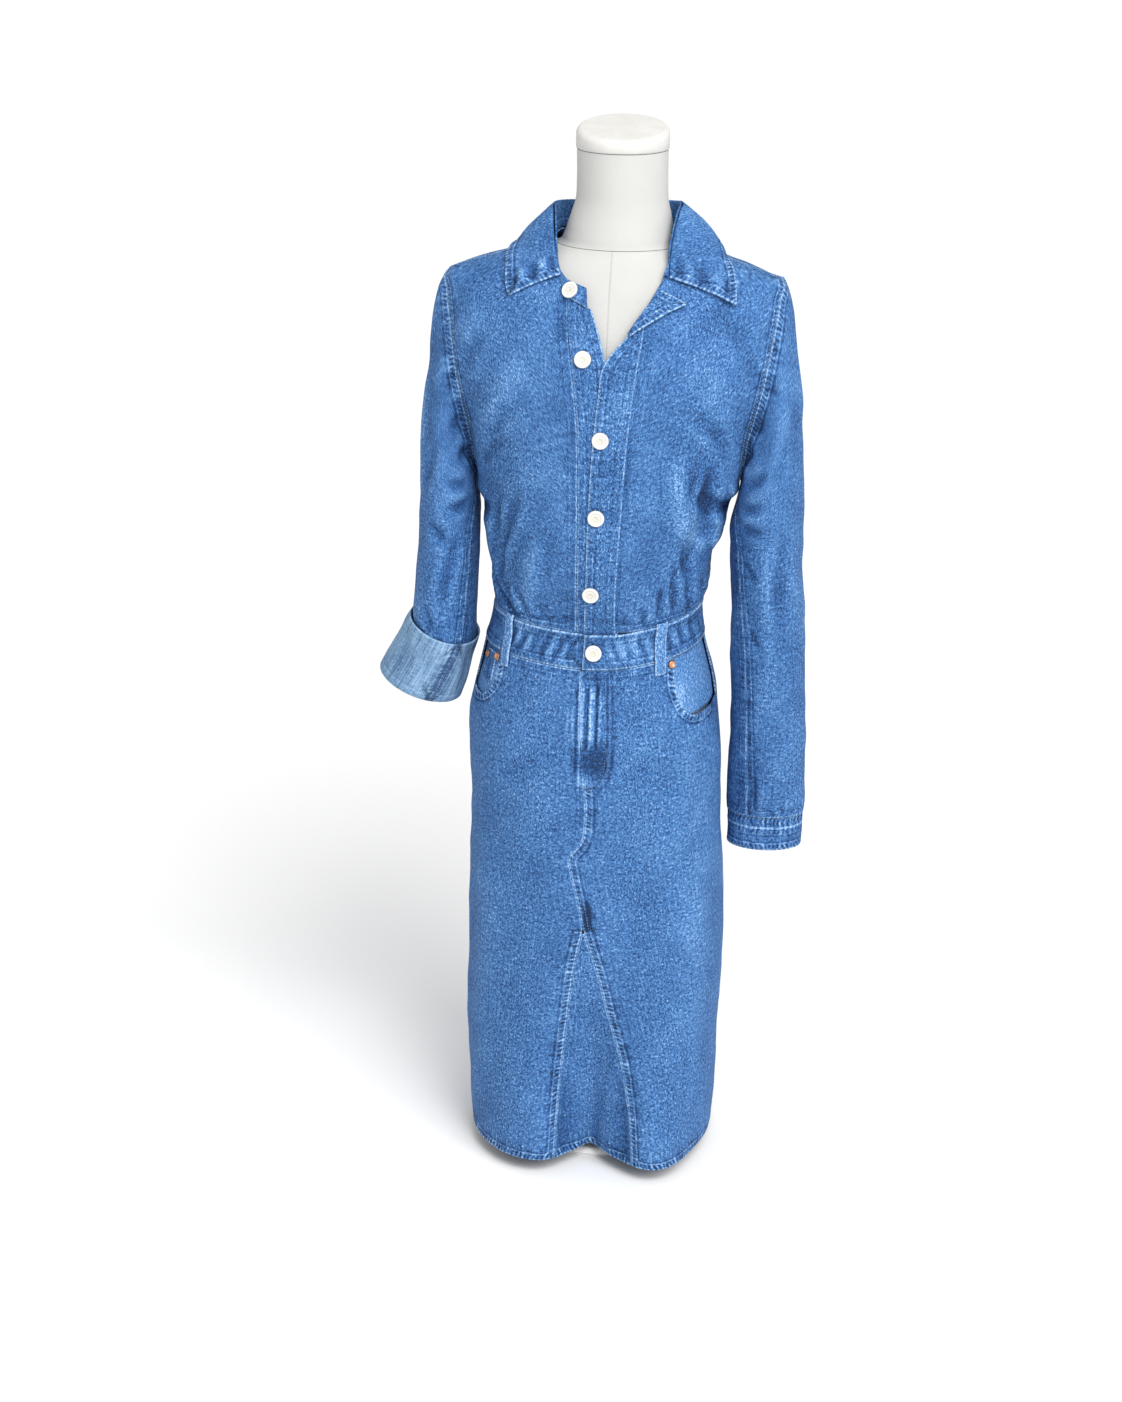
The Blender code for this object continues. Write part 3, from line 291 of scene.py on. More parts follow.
TOP_BUTTON = (-0.0370, -0.0830, 1.0130)    # the top button lies on the neckline's edge, tipped up
TOP_BUTTON_FACES = (-0.35, -0.80, 0.50)
CUFF_BUTTON_TURN = math.radians(70)
CUFF_BUTTON_HEIGHT = 0.389
RIVETS = {    # x, height, lift of the cloth under it
    "rivet_left": (0.0775, 0.5950, -0.0003), "rivet_right": (-0.1130, 0.5940, 0.0),
    "rivet_coin_pocket": (-0.1270, 0.5900, -0.0013),
}
# Profiles of the trims, downwards: share of the radius, height. A button has a rounded rim round a shallow
# dish with a dimple in its middle, on a shank.
BUTTON_PROFILE = [
    (0, 0.0036), (0.16, 0.0036), (0.24, 0.0040), (0.34, 0.0041), (0.52, 0.0038), (0.64, 0.0039),
    (0.72, 0.0043),
    (0.80, 0.0046), (0.90, 0.0044), (0.96, 0.0039), (1, 0.0030), (0.97, 0.0023), (0.88, 0.0018),
    (0.36, 0.0013),
    (0.33, 0.0004), (0, 0.0004),
]
RIVET_PROFILE = [
    (0, 0.0010), (0.30, 0.0011), (0.42, 0.0013), (0.55, 0.0018), (0.72, 0.0019), (0.86, 0.0016),
    (0.96, 0.0011),
    (1, 0.0006), (1, 0.0), (0, 0.0),
]
TRIMS = {     # ending of the name, radius, profile, sides, slot
    "button": ("_shell", BUTTON_RADIUS, BUTTON_PROFILE, 48, "button_pearl"),
    "rivet": ("_head", RIVET_RADIUS, RIVET_PROFILE, 32, "rivet_copper"),
}
CAP_ROUND = 0.0060        # radius of the neck cap's upper edge
BASE_EDGE = [(0.006, 0.0), (0.004, 0.0006), (0.002, 0.002), (0.0, 0.005)]    # in from the rim, down

# ---- what the photo shows on the cloth ------------------------------------------------------------------
# Creases of the dress: points (angle in plan in degrees, height), half width, depth (less than 0 is a ridge).
CREASES = [
    # gathers over the waistband, wearer's right
    (((-153, 0.684), (-140, 0.656)), 0.0045, 0.0042),
    (((-147, 0.678), (-133, 0.652)), 0.0040, 0.0036),
    (((-137, 0.700), (-126, 0.650)), 0.0045, 0.0032),
    (((-160, 0.706), (-150, 0.662)), 0.0050, 0.0040),
    (((-122, 0.684), (-114, 0.650)), 0.0040, 0.0020),
    (((-104, 0.670), (-101, 0.646)), 0.0030, 0.0014),
    (((-170, 0.700), (-163, 0.662)), 0.0040, 0.0034),
    # the same, wearer's left
    (((-49, 0.742), (-43, 0.656)), 0.0040, 0.0034),
    (((-54, 0.706), (-51, 0.654)), 0.0038, 0.0030),
    (((-36, 0.706), (-30, 0.662)), 0.0045, 0.0040),
    (((-64, 0.684), (-58, 0.650)), 0.0040, 0.0026),
    (((-22, 0.700), (-15, 0.668)), 0.0045, 0.0036),
    (((-72, 0.676), (-68, 0.648)), 0.0032, 0.0018),
    (((-6, 0.706), (0, 0.668)), 0.0045, 0.0036),
    # long folds of the bodice, wearer's right
    (((-128, 0.815), (-136, 0.767), (-145, 0.728), (-153, 0.672)), 0.0075, 0.0050),
    (((-140, 0.800), (-149, 0.750), (-158, 0.690)), 0.0070, 0.0040),
    (((-118, 0.780), (-122, 0.720), (-128, 0.660)), 0.0100, -0.0024),
    (((-150, 0.840), (-138, 0.880), (-128, 0.905)), 0.0080, 0.0020),
    (((-156, 0.815), (-143, 0.846), (-130, 0.862)), 0.0060, 0.0022),
    # wearer's left
    (((-38, 0.845), (-35, 0.794), (-24, 0.748), (-20, 0.720)), 0.0090, 0.0052),
    (((-27, 0.812), (-17, 0.782)), 0.0032, 0.0030),
    (((-54, 0.862), (-49, 0.778), (-32, 0.736)), 0.0100, -0.0030),
    (((-46, 0.760), (-36, 0.715), (-33, 0.672)), 0.0070, 0.0030),
    (((-30, 0.850), (-42, 0.882), (-54, 0.904)), 0.0080, 0.0022),
    (((-24, 0.822), (-38, 0.868), (-52, 0.884)), 0.0055, 0.0018),
    (((-20, 0.905), (-28, 0.960), (-34, 0.995)), 0.0090, 0.0018),
    (((-160, 0.905), (-150, 0.960), (-146, 0.990)), 0.0090, 0.0018),
    (((-46, 0.806), (-26, 0.784), (-6, 0.772), (16, 0.778)), 0.0095, 0.0068),
    (((-34, 0.746), (-6, 0.738), (20, 0.746)), 0.0120, -0.0040),
    (((-146, 0.776), (-170, 0.766), (-192, 0.772)), 0.0100, 0.0040),
    # drag lines from the third button
    (((-95, 0.875), (-110, 0.868), (-131, 0.852)), 0.0030, 0.0016),
    (((-97, 0.866), (-117, 0.850), (-132, 0.832)), 0.0032, 0.0014),
    (((-96, 0.880), (-112, 0.884), (-126, 0.880)), 0.0030, 0.0009),
    (((-84, 0.862), (-72, 0.850), (-62, 0.846)), 0.0034, 0.0011),
    # wrinkles of the plackets
    (((-106, 0.930), (-98, 0.905)), 0.0028, 0.0016),
    (((-103, 0.921), (-96, 0.896)), 0.0022, -0.0012),
    (((-108, 0.915), (-101, 0.890)), 0.0026, 0.0013),
    (((-74, 0.960), (-78, 0.938)), 0.0028, 0.0015),
    (((-77, 0.935), (-80, 0.900)), 0.0024, 0.0013),
    (((-96, 0.820), (-92, 0.806)), 0.0026, 0.0012),
    (((-82, 0.742), (-85, 0.722)), 0.0026, 0.0012),
    (((-97, 0.735), (-93, 0.718)), 0.0024, 0.0011),
    (((-80, 0.668), (-90, 0.655)), 0.0028, 0.0015),
    # the fly: pleats under its fold, then the seam that swings out
    (((-88.0, 0.606), (-84.0, 0.590), (-86.5, 0.575)), 0.0030, 0.0022),
    (((-81.0, 0.603), (-85.5, 0.594)), 0.0026, -0.0018),
    (((-92.0, 0.573), (-91.0, 0.520)), 0.0022, -0.0013),
    (((-89.3, 0.575), (-88.6, 0.518)), 0.0016, 0.0011),
    (((-87.4, 0.573), (-86.8, 0.520)), 0.0022, -0.0013),
    (((-84.6, 0.575), (-84.2, 0.518)), 0.0018, 0.0012),
    (((-82.4, 0.570), (-82.0, 0.524)), 0.0020, -0.0008),
    (((-101.0, 0.574), (-98.0, 0.520)), 0.0034, 0.0008),
    (((-97.0, 0.560), (-95.5, 0.505)), 0.0030, -0.0007),
    # soft drag of the skirt under the waistband, and over the thighs
    (((-128, 0.594), (-115, 0.580)), 0.0050, 0.0010),
    (((-66, 0.594), (-76, 0.578)), 0.0050, 0.0010),
    (((-104, 0.520), (-122, 0.490), (-140, 0.480)), 0.0140, 0.0011),
    (((-74, 0.512), (-56, 0.480), (-38, 0.474)), 0.0140, 0.0012),
    (((-150, 0.430), (-144, 0.250), (-150, 0.080)), 0.0200, -0.0022),
    (((-112, 0.440), (-118, 0.280), (-112, 0.110)), 0.0240, 0.0014),
    (((-30, 0.420), (-36, 0.240), (-28, 0.090)), 0.0220, -0.0024),
    (((-66, 0.430), (-62, 0.280), (-68, 0.110)), 0.0240, 0.0014),
    # the hem's arch, wider than the body's fold
    (((-101, 0.160), (-100, 0.020), (-99, -0.130)), 0.0160, 0.0055),
    (((-67, 0.160), (-68, 0.020), (-69, -0.130)), 0.0160, 0.0055),
    # the back: gathers, drag lines between the shoulders, folds at the sides
    (((28, 0.700), (33, 0.660)), 0.0045, 0.0036),
    (((48, 0.715), (51, 0.656)), 0.0042, 0.0032),
    (((58, 0.690), (62, 0.652)), 0.0036, 0.0026),
    (((76, 0.704), (77, 0.650)), 0.0042, 0.0024),
    (((97, 0.694), (95, 0.650)), 0.0040, 0.0026),
    (((118, 0.712), (113, 0.652)), 0.0042, 0.0032),
    (((133, 0.690), (128, 0.656)), 0.0038, 0.0028),
    (((152, 0.704), (148, 0.660)), 0.0045, 0.0036),
    (((10, 0.706), (16, 0.668)), 0.0045, 0.0034),
    (((36, 0.800), (44, 0.750), (50, 0.700)), 0.0080, 0.0034),
    (((143, 0.806), (136, 0.752), (131, 0.702)), 0.0080, 0.0036),
    (((20, 0.836), (34, 0.872), (50, 0.885)), 0.0075, 0.0024),
    (((160, 0.830), (147, 0.870), (131, 0.890)), 0.0075, 0.0026),
    (((58, 0.952), (90, 0.944), (124, 0.953)), 0.0090, 0.0014),
    (((66, 0.915), (92, 0.908), (117, 0.917)), 0.0110, 0.0012),
    (((72, 0.780), (78, 0.730), (74, 0.690)), 0.0110, 0.0020),
    (((108, 0.790), (104, 0.740), (107, 0.700)), 0.0100, 0.0018),
    (((40, 0.500), (62, 0.486), (84, 0.492)), 0.0120, 0.0016),
    (((98, 0.494), (118, 0.484), (141, 0.499)), 0.0120, 0.0016),
    (((36, 0.420), (40, 0.250), (34, 0.090)), 0.0220, -0.0020),
    (((128, 0.410), (124, 0.250), (130, 0.090)), 0.0220, -0.0022),
]
# Diagonal puckers of the waistband: angle, lean in degrees from low to high, depth.
BAND_PUCKERS = [
    (-138, 7, 0.0013), (-131, 9, 0.0017), (-123, 8, 0.0012), (-117, 10, 0.0018), (-108, 8, 0.0013),
    (-101, 6, 0.0010),
    (-80, -6, 0.0012), (-74, -8, 0.0018), (-66, -7, 0.0013), (-58, -9, 0.0016), (-42, -6, 0.0015),
    (-33, -8, 0.0018),
    (-24, -7, 0.0012), (-12, -6, 0.0016), (6, 5, 0.0012), (19, 7, 0.0016), (47, 6, 0.0013), (60, -6, 0.0015),
    (74, 5, 0.0012), (104, -6, 0.0014), (119, 7, 0.0016), (132, -6, 0.0012), (158, 6, 0.0015),
    (171, 7, 0.0013),
]
# Creases of a sleeve: points (turn in degrees, share of the length from the low end), half width, depth.
# Turn 0 is away from the body and -90 the front.
RIGHT_SLEEVE_CREASES = [
    (((-150, 0.99), (-128, 0.86), (-116, 0.72)), 0.0070, 0.0046),
    (((-118, 0.99), (-106, 0.88), (-100, 0.78)), 0.0060, 0.0034),
    (((-88, 0.985), (-82, 0.90), (-80, 0.82)), 0.0060, 0.0022),
    (((-140, 0.70), (-112, 0.62), (-88, 0.585)), 0.0065, 0.0034),
    (((-146, 0.60), (-118, 0.53), (-92, 0.50)), 0.0060, 0.0036),
    (((-70, 0.66), (-54, 0.55), (-40, 0.50)), 0.0075, 0.0026),
    (((-60, 0.44), (-84, 0.40), (-112, 0.385)), 0.0060, 0.0030),
    (((-130, 0.43), (-104, 0.34), (-90, 0.27)), 0.0065, 0.0034),
    (((-56, 0.30), (-76, 0.25), (-98, 0.235)), 0.0055, 0.0024),
    (((-100, 0.23), (-86, 0.175), (-78, 0.130)), 0.0060, 0.0036),
    (((-30, 0.80), (-24, 0.62), (-32, 0.44)), 0.0100, -0.0026),
    (((10, 0.86), (14, 0.60), (6, 0.36)), 0.0110, 0.0022),
    (((60, 0.90), (52, 0.66), (60, 0.40)), 0.0100, 0.0026),
    (((98, 0.96), (90, 0.82), (84, 0.70)), 0.0070, 0.0036),
    (((128, 0.97), (112, 0.80), (104, 0.62)), 0.0075, 0.0040),
    (((140, 0.56), (112, 0.49), (88, 0.47)), 0.0065, 0.0034),
    (((136, 0.40), (110, 0.33), (84, 0.31)), 0.0060, 0.0028),
    (((30, 0.36), (44, 0.25), (40, 0.16)), 0.0070, 0.0022),
    (((170, 0.60), (164, 0.42), (172, 0.24)), 0.0080, 0.0024),
]
LEFT_SLEEVE_CREASES = [
    (((-146, 0.99), (-126, 0.92), (-116, 0.83)), 0.0070, 0.0046),
    (((-118, 0.99), (-104, 0.92), (-96, 0.86)), 0.0060, 0.0034),
    (((-92, 0.985), (-82, 0.93), (-76, 0.87)), 0.0060, 0.0024),
    (((-70, 0.88), (-62, 0.78), (-66, 0.66)), 0.0110, -0.0024),
    (((-134, 0.78), (-106, 0.735), (-82, 0.722)), 0.0060, 0.0034),
    (((-140, 0.70), (-112, 0.655), (-88, 0.648)), 0.0055, 0.0032),
    (((-50, 0.74), (-72, 0.69), (-98, 0.684)), 0.0055, 0.0022),
    (((-136, 0.61), (-108, 0.575), (-86, 0.570)), 0.0055, 0.0030),
    (((-60, 0.60), (-64, 0.46), (-58, 0.34)), 0.0090, 0.0020),
    (((-84, 0.54), (-90, 0.40), (-84, 0.28)), 0.0080, -0.0020),
    (((-128, 0.50), (-110, 0.46), (-92, 0.452)), 0.0050, 0.0022),
    (((-122, 0.36), (-104, 0.325), (-84, 0.318)), 0.0050, 0.0020),
    (((-109, 0.16), (-106, 0.08), (-100, 0.002)), 0.0042, 0.0040),
    (((-84, 0.060), (-80, 0.002)), 0.0032, 0.0026),
    (((-66, 0.078), (-60, 0.002)), 0.0036, 0.0030),
    (((-48, 0.050), (-45, 0.002)), 0.0030, 0.0024),
    (((-30, 0.060), (-24, 0.002)), 0.0036, 0.0028),
    (((-4, 0.056), (0, 0.002)), 0.0034, 0.0026),
    (((24, 0.064), (28, 0.002)), 0.0036, 0.0028),
    (((60, 0.056), (58, 0.002)), 0.0034, 0.0028),
    (((96, 0.060), (92, 0.002)), 0.0036, 0.0030),
    (((130, 0.050), (126, 0.002)), 0.0034, 0.0026),
    (((8, 0.90), (14, 0.66), (6, 0.40)), 0.0110, 0.0022),
    (((58, 0.93), (50, 0.72), (58, 0.44)), 0.0100, 0.0026),
    (((126, 0.98), (112, 0.88), (102, 0.78)), 0.0075, 0.0042),
    (((98, 0.97), (88, 0.89), (84, 0.80)), 0.0065, 0.0034),
    (((138, 0.72), (110, 0.675), (86, 0.66)), 0.0060, 0.0032),
    (((134, 0.60), (108, 0.56), (84, 0.555)), 0.0055, 0.0028),
    (((40, 0.36), (48, 0.24), (42, 0.12)), 0.0080, 0.0022),
]
TURN_UP_CREASES = [
    (((-98, 0.98), (-92, 0.60), (-96, 0.30)), 0.0070, 0.0012),
    (((-40, 0.90), (-48, 0.50), (-44, 0.10)), 0.0090, 0.0016),
    (((10, 0.95), (4, 0.55), (12, 0.20)), 0.0080, 0.0016),
    (((70, 0.90), (64, 0.40), (70, 0.05)), 0.0090, 0.0020),
    (((130, 0.95), (138, 0.50), (132, 0.10)), 0.0080, 0.0022),
    (((-150, 0.9), (-156, 0.5), (-150, 0.1)), 0.0080, 0.0020),
]
SLEEVE_SEAMS = {   # where the long seam lies: turn and share of the length from the low end
    "sleeve_turn_up": ((-112, 0.0), (-118, 0.5), (-126, 1.0)),
    "sleeve_right": ((-128, 0.0), (-126, 0.12), (-140, 0.30), (-156, 0.55), (-178, 1.0)),
    "sleeve_left": ((-117, 0.0), (-121, 0.20), (-134, 0.45), (-160, 0.75), (-178, 1.0)),
}
SEAM_SPOTS = [     # share of the seam from the low end, points along it, tone
    (0.02, 6, -0.34), (0.07, 4, -0.24), (0.13, 5, -0.36), (0.19, 3, -0.26), (0.24, 4, -0.40),
    (0.30, 3, -0.30),
    (0.35, 4, -0.38), (0.41, 3, -0.28), (0.46, 3, -0.34), (0.53, 4, -0.22), (0.60, 3, -0.26),
    (0.68, 4, -0.18),
]
# Patches of the front that are darker (less than 0) or paler: x, height, reach in x and in height, tone. Most
# are painted shade in hollows and folds (the fly, the split over the gusset, the dart) and painted highlight
# on bulges; a few are paler places of the cloth itself.
PATCHES = [
    (-0.001, 0.509, 0.0200, 0.0180, -0.30),
    (-0.019, 0.508, 0.0080, 0.0160, -0.12),
    (-0.0065, 0.546, 0.0100, 0.0240, 0.10),
    (0.0040, 0.512, 0.0120, 0.0150, -0.08),
    (-0.0100, 0.4825, 0.0075, 0.0050, 0.24),
    (0.0020, 0.589, 0.0140, 0.0100, -0.14),
    (-0.0035, 0.3270, 0.0060, 0.0170, -0.32),
    (-0.0270, 0.548, 0.0060, 0.0300, 0.08),
    (-0.0770, 0.945, 0.0280, 0.0420, 0.07),
    (-0.0430, 0.972, 0.0070, 0.0320, -0.12),
    (0.1120, 0.815, 0.0120, 0.0260, -0.05),
    (0.0930, 0.815, 0.0060, 0.0200, -0.10),
    (0.0910, 0.722, 0.0120, 0.0160, -0.10),
    (0.1050, 0.400, 0.0300, 0.1300, 0.05),
    (-0.1120, 0.690, 0.0160, 0.0200, -0.10),
    (-0.1150, 0.580, 0.0080, 0.0160, 0.12),
    (0.0870, 0.570, 0.0050, 0.0220, 0.14),
]
# Lines of painted shade (tone less than 0) and painted highlight (paler) on the front, in its folds, grooves
# and
# ridges: points (x, height), half width, tone.
PAINTED_LIGHT_AND_SHADE_LINES = [
    # the fly: painted highlight on its ribs, painted shade between them, in the fold beside them and at its
    # bar tack
    (((-0.0182, 0.600), (-0.0178, 0.560), (-0.0172, 0.478)), 0.0013, 0.30),
    (((-0.0148, 0.586), (-0.0152, 0.526)), 0.0014, 0.34),
    (((-0.0122, 0.586), (-0.0126, 0.526)), 0.0009, -0.20),
    (((-0.0094, 0.588), (-0.0098, 0.524)), 0.0012, -0.42),
    (((-0.0064, 0.588), (-0.0068, 0.524)), 0.0014, 0.42),
    (((-0.0030, 0.582), (-0.0034, 0.526)), 0.0016, 0.16),
    (((0.0008, 0.588), (0.0003, 0.524)), 0.0015, -0.42),
    (((0.0040, 0.586), (0.0036, 0.528)), 0.0012, 0.22),
    (((-0.0212, 0.590), (-0.0212, 0.496)), 0.0015, -0.30),
    (((-0.0170, 0.5290), (0.0130, 0.5290)), 0.0022, -0.20),
    (((-0.0255, 0.566), (-0.0262, 0.530)), 0.0016, 0.10),
    (((-0.0310, 0.566), (-0.0312, 0.528)), 0.0016, 0.09),
    (((-0.0080, 0.600), (-0.0020, 0.591), (-0.0045, 0.578)), 0.0016, 0.26),
    (((-0.0060, 0.596), (0.0015, 0.586), (-0.0010, 0.576)), 0.0013, -0.26),
    (((0.0125, 0.520), (0.0140, 0.505)), 0.0012, 0.34),
    (((0.0105, 0.592), (0.0125, 0.545), (0.0115, 0.505), (0.0060, 0.488)), 0.0014, -0.28),
    (((0.0165, 0.590), (0.0190, 0.520), (0.0150, 0.488), (0.0030, 0.474)), 0.0016, -0.24),
    (((-0.0180, 0.598), (0.0160, 0.602)), 0.0030, -0.20),
    # painted shade in the dart and the folds at the wearer's left side, with a painted highlight on one fold
    (((0.1135, 0.826), (0.1085, 0.800), (0.1075, 0.775)), 0.0036, -0.14),
    (((0.1010, 0.800), (0.1110, 0.772)), 0.0022, -0.20),
    (((0.1200, 0.812), (0.1270, 0.795)), 0.0018, -0.26),
    (((0.0960, 0.825), (0.0910, 0.806)), 0.0034, -0.16),
    (((0.0930, 0.742), (0.0860, 0.718)), 0.0036, -0.18),
    (((0.1090, 0.742), (0.1120, 0.728)), 0.0030, -0.22),
    (((0.1010, 0.812), (0.1060, 0.790)), 0.0014, 0.20),
    # painted shade beside the plackets
    (((-0.0270, 0.642), (-0.0262, 0.800), (-0.0300, 0.900), (-0.0405, 1.004)), 0.0018, -0.14),
    (((0.0205, 0.650), (0.0212, 0.700), (0.0258, 0.784), (0.0308, 0.867), (0.0390, 0.942)), 0.0018, -0.14),
    # the waist: painted shade above the band, and painted shade and highlight at the gathers' edges
    (((-0.1000, 0.658), (-0.0500, 0.664), (0.0000, 0.6665), (0.0500, 0.659), (0.0950, 0.651)), 0.0026, -0.18),
    (((-0.1060, 0.6920), (-0.0870, 0.6600)), 0.0017, -0.26),
    (((-0.0980, 0.6900), (-0.0790, 0.6600)), 0.0014, 0.22),
    (((-0.1120, 0.6800), (-0.0970, 0.6600)), 0.0016, -0.28),
    (((-0.0860, 0.6840), (-0.0700, 0.6620)), 0.0013, -0.20),
    (((0.0790, 0.7300), (0.0780, 0.6620)), 0.0018, -0.22),
    (((0.0740, 0.7260), (0.0735, 0.6660)), 0.0014, 0.20),
    (((0.0640, 0.6980), (0.0640, 0.6600)), 0.0015, -0.24),
    (((0.0960, 0.6780), (0.0900, 0.6600)), 0.0015, -0.26),
    (((0.0450, 0.6780), (0.0490, 0.6600)), 0.0014, -0.18),
    (((-0.0560, 0.6780), (-0.0500, 0.6640)), 0.0013, -0.14),
    # painted shade in the split over the gusset
    (((-0.0055, 0.3450), (-0.0050, 0.3160)), 0.0042, -0.30),
]
UNDERARM_SHADES = [(-2.95, -1.90, -0.26), (1.90, 2.95, -0.22)]    # painted shade in the hollows under the arms: turns round the armhole, tone
# Ripples all over: waves per metre along x, y and z, phase, height.
RIPPLES = [
    (9.0, 4.0, 5.0, 0.3, 0.00055), (-6.0, 9.0, 8.0, 1.9, 0.00045), (14.0, -5.0, -7.0, 4.1, 0.00035),
    (5.0, 13.0, 19.0, 2.6, 0.00025), (-21.0, 8.0, 12.0, 5.2, 0.00022), (17.0, 20.0, -24.0, 0.9, 0.00016),
    (31.0, -22.0, 26.0, 3.3, 0.00012), (-38.0, 27.0, 17.0, 1.2, 0.00010),
]
PAINTED_SHADING_OF_HEIGHT = 58.0     # how much paler a metre of ridge is, as painted highlight; a trough is darker by as much, as painted shade
TICK_PITCH = 0.0052       # from one tick of a roped edge to the next

# Pieces that aren't one layer of denim, hung on the form.
POCKET_CLOTH = 0.001
WALLS = {
    "collar_leaf": DOUBLE, "cuff_left": DOUBLE, "waistband": DOUBLE, "pocket_facing_right": POCKET_CLOTH,
    "pocket_facing_left": POCKET_CLOTH, "coin_pocket": POCKET_CLOTH,
}

# Rows of stitches along the sides of a piece's grid: side, distance from it.
STITCH_ROWS = {
    "bodice_front_right": [("bottom", 0.0018)], "bodice_front_left": [("bottom", 0.0018)],
    "bodice_back": [("bottom", 0.0018)], "placket_under": [("left", 0.0018), ("right", 0.0022)],
    "placket_over": [("left", 0.0022), ("right", 0.0016)],
    "placket_turned_corner": [("right", 0.0020), ("top", 0.0020)], "collar_stand": [("bottom", 0.0018)],
    "collar_leaf": [("bottom", 0.0022), ("bottom", 0.0072), ("left", 0.0022), ("right", 0.0022)],
    "sleeve_right": [("top", 0.0020)], "sleeve_left": [("top", 0.0020)],
    "cuff_left": [("top", 0.0018), ("top", 0.0125), ("bottom", 0.0022)],
    "waistband": [("top", 0.0020), ("bottom", 0.0020), ("left", 0.0022)],
    "belt_loop": [("left", 0.0022), ("right", 0.0022)],
    "skirt_gusset": [("left", 0.0014), ("right", 0.0014), ("bottom", 0.0086)],
    "coin_pocket": [("top", 0.0018), ("left", 0.0018), ("right", 0.0018)],
}
DOUBLE_ROWS = (0.0016, 0.0066)
SLEEVE_ROWS = (0.0016, 0.0062)
MOUTH_ROWS = (0.0018, 0.0066)
FLY_ROWS = (0.0, 0.0045)
HEM_ROW = 0.0086

# ---- the camera, fitted to the photo --------------------------------------------------------------------
CAMERA_AWAY = 2.85
CAMERA_HEIGHT = 1.572
CAMERA_AZIMUTH = math.radians(5.0)
CAMERA_HEADING = math.radians(1.0)
CAMERA_PITCH = math.radians(20.0)
CAMERA_ROLL = math.radians(0.8)
CAMERA_SENSOR = 36.0      # mm high
CAMERA_LENS = 69.7        # mm

# ---- the light: a wide sun and a soft key lamp, both from the front right, and a white world ------------
WORLD_LIGHT = 0.70
SUN_HEADING = (-0.46, 0.58, -0.67)
SUN_ENERGY = 1.95
SUN_ANGLE = math.radians(36.0)
KEY_PLACE = (0.5, -1.9, 2.5)
KEY_AIM = (0.0, 0.0, 0.6)
KEY_SIZE = 1.0
KEY_POWER = 28.5
FLOOR_SIZE = 80.0


# ---- the body shape, as in the part ---------------------------------------------------------------------
def smooth_step(low, high, value):
    t = np.clip((value - low) / (high - low), 0.0, 1.0)
    return t * t * (3 - 2 * t)


def read_column(knots, values, at):
    """Smooth curve through a table's column: cubic between knots, flat beyond the ends."""
    at = np.clip(at, knots[0], knots[-1])
    slopes = np.gradient(values, knots)
    i = np.clip(np.searchsorted(knots, at, side="right") - 1, 0, len(knots) - 2)
    span = knots[i + 1] - knots[i]
    t = (at - knots[i]) / span
    rise = values[i] * (2 * t**3 - 3 * t**2 + 1) + values[i + 1] * (3 * t**2 - 2 * t**3)
    return rise + span * (slopes[i] * (t**3 - 2 * t**2 + t) + slopes[i + 1] * (t**3 - t**2))


def fold_depth(angle, z):
    total = np.zeros(np.broadcast(angle, z).shape)
    for centre, width, depth, start, full, fading, gone in FOLDS:
        away = (np.degrees(angle) - centre + 180.0) % 360.0 - 180.0
        height = smooth_step(start, full, z) * (1.0 - smooth_step(fading, gone, z))
        total += depth * np.exp(-(away / width) ** 2) * height
    return total


def unit(vectors):
    return vectors / np.maximum(np.linalg.norm(vectors, axis=-1, keepdims=True), 1e-12)


def turning_place(is_before, low, high, shape, rounds=26):
    """Where a test turns from true to false between two numbers, for a whole array by halving."""
    low, high = np.full(shape, float(low)), np.full(shape, float(high))
    for _ in range(rounds):
        middle = (low + high) / 2
        before = is_before(middle)
        low, high = np.where(before, middle, low), np.where(before, high, middle)
    return (low + high) / 2


def section(z, table=BODY):
    """Half width, front and back depth, shift and exponent of the section at a height."""
    power = ROUND + (ROUND_TOP - ROUND) * smooth_step(0.97, 1.03, z)
    return (*(read_column(table[:, 0], table[:, k], z) for k in (1, 2, 3, 4)), power)


def level(p, table=BODY):
    """Below 0 inside the body or the form, 0 on it, above 0 outside."""
    half, front, back, shift, power = section(p[..., 2], table)
    x, y = p[..., 0] - shift, p[..., 1]
    depth = np.where(y < 0, front, back)
    size = (np.abs(x / half) ** power + np.abs(y / depth) ** power) ** (1 / power)
    if table is FORM:
        return size - 1.0
    return size - 1.0 + fold_depth(np.arctan2(y, x), p[..., 2]) / np.maximum(np.hypot(x, y) / size, 0.01)


def slope(p, table=BODY):
    """Gradient of level(): the outward direction."""
    step = 0.0002
    parts = []
    for k in range(3):
        move = np.zeros(3)
        move[k] = step
        parts.append((level(p + move, table) - level(p - move, table)) / (2 * step))
    return np.stack(parts, axis=-1)


def form_gap(p):
    """Distance from points to the dress form, large over and under it."""
    away = level(p, FORM) / np.maximum(np.linalg.norm(slope(p, FORM), axis=-1), 1e-9)
    beside = (p[..., 2] > FORM_LOW) & (p[..., 2] < NECK_SEAM)
    return np.where(beside, away, 1.0)


def raised(p, lift):
    return p + np.asarray(lift)[..., None] * unit(slope(p))


def settle(p, lift=0.0):
    """Points brought to the body's surface the short way, then lifted off it."""
    p = np.array(p, dtype=float)
    for _ in range(6):
        g = slope(p)
        p = p - (level(p) / np.maximum((g * g).sum(-1), 1e-9))[..., None] * g
    return raised(p, lift)


def clear_of_body(p, distance):
    """Points nearer to the body than the distance, or inside it, moved out to that distance."""
    low = level(p) / np.linalg.norm(slope(p), axis=-1)
    return raised(p, np.clip(distance - low, 0, None))


def with_waistline(angle, z):
    """Heights raised with the waistline, fully at the waistband and less away from it."""
    near = smooth_step(0.470, 0.585, z) * (1 - smooth_step(0.660, 0.760, z))
    degrees = (np.degrees(angle) + 180.0) % 360.0 - 180.0
    return z + read_column(WAIST_RISE[:, 0], WAIST_RISE[:, 1], degrees) * near


